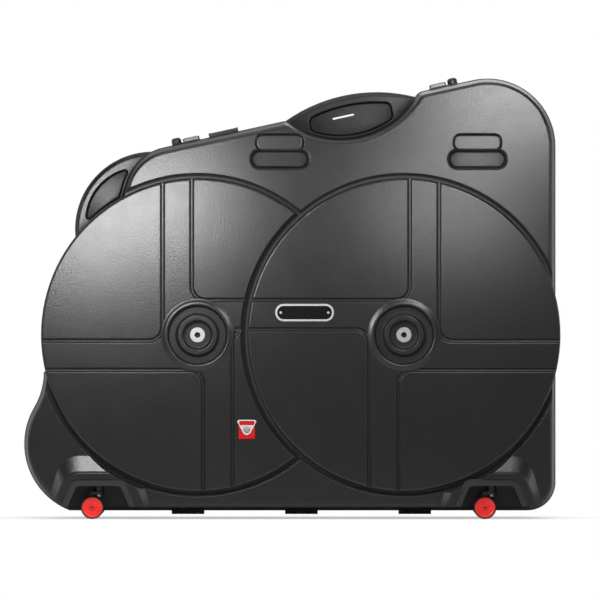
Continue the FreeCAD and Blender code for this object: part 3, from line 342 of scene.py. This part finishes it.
finishes = {
    "shell": moulded(
        "moulded_shell", (0.0062, 0.0062, 0.0066), rough=0.29, grain=0.0016, depth=0.00009, handled_and_painted_fill=True),
    "paddle": moulded(
        "moulded_paddle", (0.0115, 0.0115, 0.012), rough=0.32, grain=0.0013, depth=0.00006, rounding=0.002,
        handled_and_painted_fill=True),
    "dark_plastic": moulded(
        "caster_housing", (0.014, 0.014, 0.0145), rough=0.42, grain=0.0011, depth=0.00006, rounding=0.001),
    "seal": rubber("seal_rubber", grey(0.014)),
    "steel": metal("brushed_steel", (0.37, 0.37, 0.38), rough=0.5, stretch=(1.0, 1.0, 14.0), streak=0.06),
    "chrome": metal("bright_plate", (0.5, 0.5, 0.51), rough=0.2, stretch=(1.0, 6.0, 1.0), streak=0.05),
    "wheel_red": red_plastic("wheel_red"),
    "tyre": rubber("tyre_rubber", grey(0.012)),
    "foam": foam("foam_grey"),
    "lock_dark": moulded(
        "lock_barrel", (0.016, 0.016, 0.017), rough=0.3, grain=0.0009, depth=0.00004, rounding=0.0008),
    "window": smoked_window("smoked_window"),
    "black_steel": moulded(
        "black_coated_steel", (0.012, 0.012, 0.012), rough=0.36, grain=0.0007, depth=0.00005, rounding=0.0006),
    "plate": gloss_plate("plate_lacquer"),
    "webbing": woven("red_webbing", (0.24, 0.002, 0.003), (0.66, 0.008, 0.008)),
}
LENGTHWISE = (6.0, 1.0, 1.0)
ZINC = metal("pale_zinc", (0.52, 0.48, 0.45), rough=0.5, stretch=(8.0, 1.0, 1.0), streak=0.06, metallic=0.25)
SMOKED_CHROME = metal("smoked_chrome", (0.06, 0.06, 0.063), rough=0.42, stretch=LENGTHWISE, streak=0.1)
HASP_CHROME = metal("hasp_chrome", (0.15, 0.15, 0.155), rough=0.36, stretch=LENGTHWISE, streak=0.12)
SATIN = metal("satin_alloy", (0.40, 0.40, 0.41), rough=0.42, stretch=LENGTHWISE, streak=0.06, metallic=0.5)
OWN_FINISHES = {                        # by the end of the node's name
    "nameplate_bezel": SATIN,
    "_caster_axle": finishes["lock_dark"],
    "_hasp": HASP_CHROME,
    "_lock_base": SMOKED_CHROME,
    "_lock_keeper": SMOKED_CHROME,
}
for subpart in frame["record"]["subparts"]:
    finish = finishes[subpart["material_slot"]]
    for ending, own in OWN_FINISHES.items():
        if subpart["node"].endswith(ending):
            finish = own
    part = nodes[subpart["node"]]
    part.data.materials.clear()
    part.data.materials.append(finish)


# Pieces

def piece(name, mesh, slot, body):
    """Adds a finished mesh as a piece of the object that moves with a body."""
    obj = bpy.data.objects.new(name, mesh)
    bpy.context.scene.collection.objects.link(obj)
    mesh.materials.clear()
    mesh.materials.append(finishes[slot])
    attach(obj, body)
    return obj


def skin(mesh, loops, closed):
    """Faces between neighbouring loops; the last loop joins the first, or both ends get a cap."""
    pairs = list(zip(loops, loops[1:]))
    if closed:
        pairs.append((loops[-1], loops[0]))
    for a, b in pairs:
        for j in range(len(a)):
            k = (j + 1) % len(a)
            mesh.faces.new((a[j], a[k], b[k], b[j]))
    if not closed:
        mesh.faces.new(reversed(loops[0]))
        mesh.faces.new(loops[-1])


def turned(mesh, side, half, angle, section):
    """Points of a section, given as radius and depth from the parting plane, at an angle about a hub."""
    across, rise = math.cos(angle), math.sin(angle)
    return [mesh.verts.new((HUB_X[side] + radius * across, HALVES[half] * depth, HUB_Z + radius * rise))
            for radius, depth in section]


def finished(mesh, name, smooth=True):
    """Mesh data with its faces pointing outwards."""
    bmesh.ops.recalc_face_normals(mesh, faces=mesh.faces)
    data = bpy.data.meshes.new(name)
    mesh.to_mesh(data)
    mesh.free()
    for face in data.polygons:
        face.use_smooth = smooth
    return data


# Foam rings in the wheel bays

PAD_INNER = 0.090
PAD_OUTER = 0.318
PAD_BACK = 0.1808         # depth of the pads' backs from the parting plane
PAD_THICKNESS = 0.018
PAD_EDGE = 0.3            # share of the thickness at the pads' edges
PAD_CROWN = 0.64          # share that the crown adds
PAD_SWELL = 0.05          # change of the crown round the ring
PAD_LUMPS = 7
PAD_ROOM = 0.3768         # the left pad keeps clear of the right bay's wall
PAD_GAP = math.radians(34.0)            # half of the left pad's opening
PAD_STEPS = 128
PAD_RINGS = 26


def pad_reach(side, angle):
    """Outer radius of a pad at an angle about its hub."""
    if side == "right":
        return PAD_OUTER
    apart = HUB_X["right"] - HUB_X["left"]
    across = apart * math.cos(angle)
    inside = PAD_ROOM ** 2 - apart ** 2 + across ** 2
    if inside <= 0 or across <= 0:
        return PAD_OUTER
    return min(PAD_OUTER, across - math.sqrt(inside))


def pad_section(reach, angle):
    """Closed section of a pad: radius and depth from the parting plane."""
    middle, half_width = (PAD_INNER + reach) / 2, (reach - PAD_INNER) / 2
    section = []
    for j in range(PAD_RINGS):
        t = -1 + 2 * j / (PAD_RINGS - 1)
        crown = (1 - abs(t) ** 7) ** 0.5
        swell = 1 + PAD_SWELL * math.sin(PAD_LUMPS * angle + 3 * t) * (1 - t * t)
        height = PAD_THICKNESS * min(1.0, PAD_EDGE + PAD_CROWN * crown * swell)
        section.append((middle + half_width * t, PAD_BACK - height))
    return section + [(radius, PAD_BACK) for radius in (reach, middle, PAD_INNER)]


def pad_mesh(half):
    """Two crowned foam rings; the left one is open where the right bay cuts in."""
    mesh = bmesh.new()
    for side in SIDES:
        closed = side == "right"
        gap = 0.0 if closed else PAD_GAP
        loops = []
        for i in range(PAD_STEPS if closed else PAD_STEPS + 1):
            angle = gap + (2 * math.pi - 2 * gap) * i / PAD_STEPS
            loops.append(turned(mesh, side, half, angle, pad_section(pad_reach(side, angle), angle)))
        skin(mesh, loops, closed)
    return finished(mesh, half + "_foam_rings")


for half in HALVES:
    pad = piece(half + "_foam_rings", pad_mesh(half), "foam", half + "_half")
    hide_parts(half + "_wheel_pads")


# Rounded rims of the hub dishes

FACE = 0.188              # depth of the bays' faces from the parting plane
RIM_OUTER = 0.080
RIM_CREST = 0.0685        # radius of the rim's crest
RIM_HEIGHT = 0.0029
RIM_ROUND = 0.0036        # rounding into the dish
RIM_TURN = math.radians(78.0)           # how far the rounding turns
RIM_FOOT = (0.0618, -0.0172)
RIM_BACK = [(0.066, -0.018), (0.0805, -0.0012)]         # inside the shell's wall
RIM_FLANK_STEPS = 12
RIM_ROUND_STEPS = 8
RIM_STEPS = 144


def rim_section():
    """Closed section of a rim: radius and depth from the parting plane."""
    points = []
    for k in range(RIM_FLANK_STEPS + 1):
        share = k / RIM_FLANK_STEPS
        rise = 0.5 * (1 - math.cos(math.pi * share))
        points.append((RIM_OUTER - (RIM_OUTER - RIM_CREST) * share, RIM_HEIGHT * rise))
    for k in range(1, RIM_ROUND_STEPS + 1):
        turn = RIM_TURN * k / RIM_ROUND_STEPS
        drop = RIM_ROUND * (1 - math.cos(turn))
        points.append((RIM_CREST - RIM_ROUND * math.sin(turn), RIM_HEIGHT - drop))
    return [(radius, FACE + height) for radius, height in points + [RIM_FOOT] + RIM_BACK]


def rim_mesh(half):
    """The two hub rims of one half."""
    mesh = bmesh.new()
    for side in SIDES:
        turns = [2 * math.pi * k / RIM_STEPS for k in range(RIM_STEPS)]
        skin(mesh, [turned(mesh, side, half, turn, rim_section()) for turn in turns], closed=True)
    return finished(mesh, half + "_hub_rims")


for half in HALVES:
    piece(half + "_hub_rims", rim_mesh(half), "shell", half + "_half")


# Red webbing tab under the strap anchor

tab_low, tab_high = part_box("strap_webbing")
TAB_WIDTH = tab_high.x - tab_low.x
TAB_LENGTH = tab_high.z - tab_low.z
TAB_THICK = tab_high.y - tab_low.y
TAB_ROLL = 0.0016         # width of the rolled edges
TAB_FRONT, TAB_BACK = 0.42, 0.5         # shares of the thickness before and behind the middle
TAB_COLUMNS = 24
TAB_ROWS = 28
PER_MM = 1000


def tab_sheet(mesh, share):
    """Rows of points of the front or the back, which meet at the rolled edges."""
    rows = []
    for j in range(TAB_ROWS + 1):
        row = []
        for i in range(TAB_COLUMNS + 1):
            u = i / TAB_COLUMNS
            edge = min(u, 1 - u) * TAB_WIDTH
            roll = math.sqrt(max(0.0, 1 - (1 - min(1.0, edge / TAB_ROLL)) ** 2))
            x = tab_low.x + u * TAB_WIDTH
            y = tab_high.y - TAB_THICK * (0.5 + share * roll)
            row.append(mesh.verts.new((x, y, tab_low.z + j / TAB_ROWS * TAB_LENGTH)))
        rows.append(row)
    return rows


def tab_mesh():
    """Thin webbing with rolled edges and a UV map in millimetres."""
    mesh = bmesh.new()
    layer = mesh.loops.layers.uv.new("weave")
    front, back = tab_sheet(mesh, TAB_FRONT), tab_sheet(mesh, -TAB_BACK)
    for rows in (front, back):
        for j in range(TAB_ROWS):
            for i in range(TAB_COLUMNS):
                mesh.faces.new((rows[j][i], rows[j][i + 1], rows[j + 1][i + 1], rows[j + 1][i]))
    border = [(0, i) for i in range(TAB_COLUMNS)] + [(j, TAB_COLUMNS) for j in range(TAB_ROWS)]
    border += [(TAB_ROWS, i) for i in range(TAB_COLUMNS, 0, -1)] + [(j, 0) for j in range(TAB_ROWS, 0, -1)]
    for (j, i), (q, p) in zip(border, border[1:] + border[:1]):
        mesh.faces.new((front[q][p], front[j][i], back[j][i], back[q][p]))
    for face in mesh.faces:
        for loop in face.loops:
            place = loop.vert.co
            loop[layer].uv = ((place.x - tab_low.x) * PER_MM, (place.z - tab_low.z) * PER_MM)
    return finished(mesh, "webbing_tab")


tab = piece("webbing_tab", tab_mesh(), "webbing", "front_half")
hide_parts("strap_webbing")


# Plate of the strap anchor: a thin loop round the webbing that tapers to the rivet

ANCHOR_AT = Vector((-0.0997, -0.1909, 0.2010))
ANCHOR_THICK = 0.0022
ANCHOR_EDGE = 0.0003      # rounding of the plate's edges
CORNER_X, CORNER_Y, CORNER_RADIUS = 0.0165, 0.0125, 0.0045
TIP_Y, TIP_RADIUS = -0.007, 0.0095
TIP_TURN = (208, 332)     # degrees that the rounded tip spans
WINDOW_TOP = (0.0143, 0.0118)           # centre of the window's upper right corner
WINDOW_FOOT = (0.0137, 0.0078)          # and of its lower right corner
WINDOW_RADIUS = 0.0025
ARC_STEPS = {"corner": 10, "tip": 24, "window": 6}


def arc(x, y, radius, start, end, kind):
    """Points on an arc; the angles are in degrees."""
    steps = ARC_STEPS[kind]
    turns = [math.radians(start + (end - start) * k / steps) for k in range(steps + 1)]
    return [(x + radius * math.cos(turn), y + radius * math.sin(turn)) for turn in turns]


def anchor_outlines():
    """Outer edge and window of the plate, in its own plane."""
    edge = arc(CORNER_X, CORNER_Y, CORNER_RADIUS, 0, 90, "corner")
    edge += arc(-CORNER_X, CORNER_Y, CORNER_RADIUS, 90, 180, "corner")
    edge += arc(0.0, TIP_Y, TIP_RADIUS, *TIP_TURN, "tip")
    (top_x, top_y), (foot_x, foot_y) = WINDOW_TOP, WINDOW_FOOT
    window = arc(top_x, top_y, WINDOW_RADIUS, 0, 90, "window")
    window += arc(-top_x, top_y, WINDOW_RADIUS, 90, 180, "window")
    window += arc(-foot_x, foot_y, WINDOW_RADIUS, 180, 270, "window")
    window += arc(foot_x, foot_y, WINDOW_RADIUS, 270, 360, "window")
    return edge, window


def anchor_mesh():
    """The plate, filled between its outlines as a flat curve and turned to face the front."""
    flat = bpy.data.curves.new("anchor_outline", "CURVE")
    flat.dimensions = "2D"
    flat.fill_mode = "BOTH"
    flat.bevel_depth = ANCHOR_EDGE
    flat.bevel_resolution = 2
    flat.offset = -ANCHOR_EDGE
    flat.extrude = ANCHOR_THICK / 2 - ANCHOR_EDGE
    for points in anchor_outlines():
        spline = flat.splines.new("POLY")
        spline.points.add(len(points) - 1)
        for point, (x, y) in zip(spline.points, points):
            point.co = (x, y, 0.0, 1.0)
        spline.use_cyclic_u = True
    holder = bpy.data.objects.new("anchor_outline", flat)
    bpy.context.scene.collection.objects.link(holder)
    graph = bpy.context.evaluated_depsgraph_get()
    data = bpy.data.meshes.new_from_object(holder.evaluated_get(graph))
    bpy.data.objects.remove(holder)
    data.transform(Matrix.Translation(ANCHOR_AT) @ Matrix.Rotation(math.pi / 2, 4, "X"))
    mesh = bmesh.new()
    mesh.from_mesh(data)
    bmesh.ops.remove_doubles(mesh, verts=mesh.verts, dist=1e-6)
    bmesh.ops.recalc_face_normals(mesh, faces=mesh.faces)
    mesh.to_mesh(data)
    mesh.free()
    return data


anchor = piece("anchor_plate", anchor_mesh(), "steel", "front_half")
anchor.data.materials[0] = ZINC
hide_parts("strap_anchor")


# Rivets of the hinge leaves and lock plates, and plugs that close the hub bores

TURN_STEPS = 24
RIVET_PROFILE = [(1.0, -0.12), (1.0, 0.06), (0.93, 0.2), (0.74, 0.33), (0.48, 0.41), (0.2, 0.445)]
PLUG_PROFILE = [(0.99, -0.25), (0.99, 0.12), (0.93, 0.2), (0.8, 0.2), (0.72, 0.1), (0.3, 0.07)]
HUB_BORE = 0.0062
PLUG_DEPTH = 0.1535
HINGE_X = (-0.230, 0.020, 0.270)
HINGE_UNDER = 0.015       # underside of the hinge leaves
HINGE_RIVETS = (-0.026, 0.0, 0.026)     # along each leaf
HINGE_RIVET_Y, HINGE_RIVET_RADIUS = 0.0155, 0.0028
LOCK_X = {"left": -0.222, "right": 0.322}
LOCK_TOP = 0.002          # top of the lock plates above the top edge
KEEPER_RIVETS = (-0.013, 0.013)         # along each keeper
KEEPER_RIVET_Y, KEEPER_RIVET_RADIUS = -0.0195, 0.002
BASE_RIVETS_Y = (0.006, 0.021)
BASE_RIVET_OUT, BASE_RIVET_RADIUS = 0.0202, 0.0015


def lathe(name, profile):
    """Small turned piece of unit radius pointing along z."""
    mesh = bmesh.new()
    turns = [2 * math.pi * k / TURN_STEPS for k in range(TURN_STEPS)]
    rings = []
    for radius, height in profile:
        rings.append([mesh.verts.new((radius * math.cos(a), radius * math.sin(a), height)) for a in turns])
    skin(mesh, rings, closed=False)
    return bpy.data.objects.new(name, finished(mesh, name))


def set_on_points():
    """Node group that sets a small piece on every point, turned along the point's own direction."""
    group = bpy.data.node_groups.new("set_on_points", "GeometryNodeTree")
    for name, kind in (("Points", "Geometry"), ("Piece", "Object"), ("Radius", "Float"), ("Finish", "Material")):
        group.interface.new_socket(name, in_out="INPUT", socket_type="NodeSocket" + kind)
    group.interface.new_socket("Result", in_out="OUTPUT", socket_type="NodeSocketGeometry")
    make = group.nodes.new
    source, result = make("NodeGroupInput"), make("NodeGroupOutput")
    shape, copies = make("GeometryNodeObjectInfo"), make("GeometryNodeInstanceOnPoints")
    along, turn = make("GeometryNodeInputNamedAttribute"), make("FunctionNodeAlignRotationToVector")
    real, finish = make("GeometryNodeRealizeInstances"), make("GeometryNodeSetMaterial")
    along.data_type = "FLOAT_VECTOR"
    along.inputs["Name"].default_value = "direction"
    turn.axis = "Z"
    for start, end in (
        (source.outputs["Points"], copies.inputs["Points"]),
        (source.outputs["Piece"], shape.inputs["Object"]),
        (shape.outputs["Geometry"], copies.inputs["Instance"]),
        (source.outputs["Radius"], copies.inputs["Scale"]),
        (along.outputs["Attribute"], turn.inputs["Vector"]),
        (turn.outputs["Rotation"], copies.inputs["Rotation"]),
        (copies.outputs["Instances"], real.inputs["Geometry"]),
        (real.outputs["Geometry"], finish.inputs["Geometry"]),
        (source.outputs["Finish"], finish.inputs["Material"]),
        (finish.outputs["Geometry"], result.inputs["Result"]),
    ):
        group.links.new(start, end)
    return group


RIVET = lathe("rivet_head", RIVET_PROFILE)
PLUG = lathe("hub_plug", PLUG_PROFILE)
SET_ON_POINTS = set_on_points()


def repeated(name, shape, points, direction, radius, slot, body):
    """One piece made of a small shape at every point, all pointing the same way."""
    cloud = bpy.data.meshes.new(name)
    cloud.from_pydata(points, [], [])
    ways = cloud.attributes.new("direction", "FLOAT_VECTOR", "POINT")
    for way in ways.data:
        way.vector = direction
    holder = bpy.data.objects.new(name + "_points", cloud)
    bpy.context.scene.collection.objects.link(holder)
    setter = holder.modifiers.new("set_on_points", "NODES")
    setter.node_group = SET_ON_POINTS
    given = {"Piece": shape, "Radius": radius, "Finish": finishes[slot]}
    for socket in SET_ON_POINTS.interface.items_tree:
        if socket.name in given:
            setter[socket.identifier] = given[socket.name]
    graph = bpy.context.evaluated_depsgraph_get()
    mesh = bpy.data.meshes.new_from_object(holder.evaluated_get(graph))
    bpy.data.objects.remove(holder)
    return piece(name, mesh, slot, body)


def on_top_edge(x, along, y, above):
    """Point along and above the sloping top edge, from its station at x."""
    station = Vector((x, y, TOP_Z + math.tan(TOP_SLOPE) * (x - TOP_X)))
    return station + ALONG_EDGE * along + UP_EDGE * above


for half, toward in HALVES.items():
    body = half + "_half"
    leaves = [(x + step, toward * HINGE_RIVET_Y, HINGE_UNDER) for x in HINGE_X for step in HINGE_RIVETS]
    repeated(half + "_hinge_rivets", RIVET, leaves, (0, 0, -1), HINGE_RIVET_RADIUS, "black_steel", body)
    bores = [(x, toward * PLUG_DEPTH, HUB_Z) for x in HUB_X.values()]
    repeated(half + "_hub_plugs", PLUG, bores, (0, toward, 0), HUB_BORE, "seal", body)
keeper = [on_top_edge(x, along, KEEPER_RIVET_Y, LOCK_TOP) for x in LOCK_X.values() for along in KEEPER_RIVETS]
repeated("keeper_rivets", RIVET, keeper, UP_EDGE, KEEPER_RIVET_RADIUS, "chrome", "front_half")
base = [on_top_edge(LOCK_X[side], outward * BASE_RIVET_OUT, y, LOCK_TOP)
        for side, outward in SIDES.items() for y in BASE_RIVETS_Y]
repeated("lock_rivets", RIVET, base, UP_EDGE, BASE_RIVET_RADIUS, "chrome", "rear_half")


# Front lip of the tag holder

TAG_X = -0.151
TAG_REACH = 0.0281        # half the clear length between the posts
TAG_FRONT = -0.0249       # front face of the lip
LIP_LOW, LIP_HIGH = 0.0023, 0.0083
LIP_HALF = 0.00045        # half the lip's thickness
LIP_STEPS = 12
LIP_ROUND_STEPS = 8


def lip_mesh():
    """Thin lip with a rounded upper edge, along the front of the tag holder."""
    mesh = bmesh.new()
    profile = [(-LIP_HALF, LIP_LOW), (LIP_HALF, LIP_LOW)]
    for k in range(LIP_ROUND_STEPS + 1):
        turn = math.pi * k / LIP_ROUND_STEPS
        profile.append((LIP_HALF * math.cos(turn), LIP_HIGH - LIP_HALF + LIP_HALF * math.sin(turn)))
    middle = TAG_FRONT + LIP_HALF
    rings = []
    for k in range(LIP_STEPS + 1):
        along = TAG_REACH * (2 * k / LIP_STEPS - 1)
        rings.append([mesh.verts.new(on_top_edge(TAG_X, along, middle + y, above)) for y, above in profile])
    skin(mesh, rings, closed=False)
    return finished(mesh, "tag_lip", smooth=False)


piece("tag_lip", lip_mesh(), "dark_plastic", "front_half")


# Stage

AMBIENT = 0.40            # light from all round
ROOM = 0.08               # dim room in front of the object, as gloss shows it; the backdrop behind is white
ROOM_TURN = (-0.2, 0.35)  # where the room turns into the backdrop, by a direction's y
FLOOR_GLOW = 0.72         # added where gloss shows the floor behind the object
FLOOR_GLOW_FULL = 0.6     # distance behind the middle where the glow is full
FLOOR_REACH = 45.0
FLOOR_GREY = 0.8
CONTACT_REACH = 0.2       # how far the object shades the floor
CONTACT = (0.15, 0.95)    # openness of the floor in the deepest shade and out of it
CONTACT_COVER = 0.5       # cover in the deepest shade


def floor_cover(tree):
    """How far the floor covers what lies under it: for the camera in the contact shadow, for other rays all over.

    The opened half reaches below the floor, because the real case is laid down before it is opened.
    From below and for shadow rays the floor is clear.
    """
    path = tree.nodes.new("ShaderNodeLightPath")
    shade = tree.nodes.new("ShaderNodeAmbientOcclusion")
    shade.samples = 12
    shade.inputs["Distance"].default_value = CONTACT_REACH
    contact = spread(tree, shade.outputs["AO"], *CONTACT, CONTACT_COVER, 0.0)
    seen = math_node(tree, "MULTIPLY", path.outputs["Is Camera Ray"], contact)
    other = spread(tree, path.outputs["Is Camera Ray"], 0.0, 1.0, 1.0, 0.0)
    cover = math_node(tree, "ADD", seen, other)
    face = tree.nodes.new("ShaderNodeNewGeometry")
    for hidden in (face.outputs["Backfacing"], path.outputs["Is Shadow Ray"]):
        cover = math_node(tree, "MULTIPLY", cover, spread(tree, hidden, 0.0, 1.0, 1.0, 0.0))
    return cover


def strength_by_ray(tree, other, camera, reflected):
    """Strength for rays of the camera, rays from gloss or through glass, and other rays."""
    path = tree.nodes.new("ShaderNodeLightPath")
    strength = None
    for ray in ("Is Glossy Ray", "Is Transmission Ray", "Is Camera Ray"):
        mix = tree.nodes.new("ShaderNodeMix")
        tree.links.new(path.outputs[ray], mix.inputs["Factor"])
        if strength:
            tree.links.new(strength, mix.inputs["A"])
        else:
            mix.inputs["A"].default_value = other
        if ray == "Is Camera Ray":
            mix.inputs["B"].default_value = camera
        else:
            tree.links.new(reflected, mix.inputs["B"])
        strength = mix.outputs["Result"]
    return strength


def floor():
    """Pale floor that glows behind the object as gloss shows it."""
    mesh = bpy.data.meshes.new("floor")
    corners = [(-1, -1), (1, -1), (1, 1), (-1, 1)]
    mesh.from_pydata([(x * FLOOR_REACH, y * FLOOR_REACH, 0) for x, y in corners], [], [(0, 1, 2, 3)])
    obj = bpy.data.objects.new("floor", mesh)
    bpy.context.scene.collection.objects.link(obj)
    mat = bpy.data.materials.new("pale_floor")
    mat.use_nodes = True
    tree = mat.node_tree
    tree.nodes.remove(tree.nodes["Principled BSDF"])
    diffuse = tree.nodes.new("ShaderNodeBsdfDiffuse")
    diffuse.inputs["Color"].default_value = (*grey(FLOOR_GREY), 1.0)
    glow = tree.nodes.new("ShaderNodeEmission")
    behind = spread(tree, y_of(tree, "Object"), 0.0, FLOOR_GLOW_FULL, 0.0, FLOOR_GLOW)
    tree.links.new(strength_by_ray(tree, 0.0, 0.0, behind), glow.inputs["Strength"])
    both = tree.nodes.new("ShaderNodeAddShader")
    tree.links.new(diffuse.outputs[0], both.inputs[0])
    tree.links.new(glow.outputs[0], both.inputs[1])
    clear = tree.nodes.new("ShaderNodeBsdfTransparent")
    whole = tree.nodes.new("ShaderNodeMixShader")
    tree.links.new(floor_cover(tree), whole.inputs["Fac"])
    tree.links.new(clear.outputs[0], whole.inputs[1])
    tree.links.new(both.outputs[0], whole.inputs[2])
    tree.links.new(whole.outputs[0], tree.nodes["Material Output"].inputs["Surface"])
    mesh.materials.append(mat)


def world():
    """White backdrop behind the object, a dim room in front of it and even light from all round."""
    sky = bpy.data.worlds.new("studio")
    bpy.context.scene.world = sky
    sky.use_nodes = True
    tree = sky.node_tree
    back = tree.nodes["Background"]
    back.inputs["Color"].default_value = (1.0, 1.0, 1.0, 1.0)
    behind = spread(tree, y_of(tree, "Generated"), *ROOM_TURN, ROOM, 1.0)
    tree.links.new(strength_by_ray(tree, AMBIENT, 1.0, behind), back.inputs["Strength"])


def softbox(name, place, target, size, radiance, roll=0.0):
    """Area light that the camera doesn't see; roll is in degrees."""
    lamp = bpy.data.lights.new(name, "AREA")
    lamp.shape = "RECTANGLE"
    lamp.size, lamp.size_y = size
    lamp.energy = radiance * math.pi * size[0] * size[1]
    obj = bpy.data.objects.new(name, lamp)
    obj.location = place
    aim = (Vector(target) - Vector(place)).to_track_quat("-Z", "Y").to_matrix()
    obj.rotation_euler = (aim @ Matrix.Rotation(math.radians(roll), 3, "Z")).to_euler()
    obj.visible_camera = False
    bpy.context.scene.collection.objects.link(obj)


def far_camera(place, lens):
    """Camera far in front with a long lens, so that it sees nearly without perspective."""
    camera = bpy.data.cameras.new("camera")
    camera.lens = lens
    camera.sensor_width = 36.0
    camera.clip_end = 200.0
    view = bpy.data.objects.new("camera", camera)
    view.location = place
    view.rotation_euler = (math.pi / 2, 0.0, 0.0)
    bpy.context.scene.collection.objects.link(view)
    bpy.context.scene.camera = view


floor()
world()
for lamp in (             # name, place, target, size, radiance, roll
    ("key", (-0.38, -0.98, 0.685), (-0.34, -0.18, 0.65), (0.40, 0.20), 30.0, 20.0),
    ("upper_right", (0.50, -0.98, 0.97), (0.48, -0.18, 0.93), (0.32, 0.20), 22.0),
    ("right", (0.34, -0.98, 0.71), (0.34, -0.18, 0.69), (0.28, 0.20), 9.0),
    ("strip_left", (-2.0, -0.95, 0.85), (-0.2, -0.18, 0.5), (0.45, 1.3), 3.5),
    ("strip_right", (2.0, -0.95, 0.85), (0.2, -0.18, 0.5), (0.45, 1.3), 3.5),
    ("overhead", (0.0, 0.1, 2.7), (0.0, 0.1, 0.5), (1.8, 1.4), 0.9),
    ("top_front", (0.0, -1.05, 1.95), (0.0, -0.18, 0.5), (1.7, 0.3), 5.5),
    ("behind", (0.5, 2.0, 1.5), (0.0, 0.2, 0.5), (1.0, 0.8), 4.0),
):
    softbox(*lamp)
far_camera((0.0169, -30.0, 0.4807), lens=816.0)
bpy.context.scene.view_settings.view_transform = "Standard"
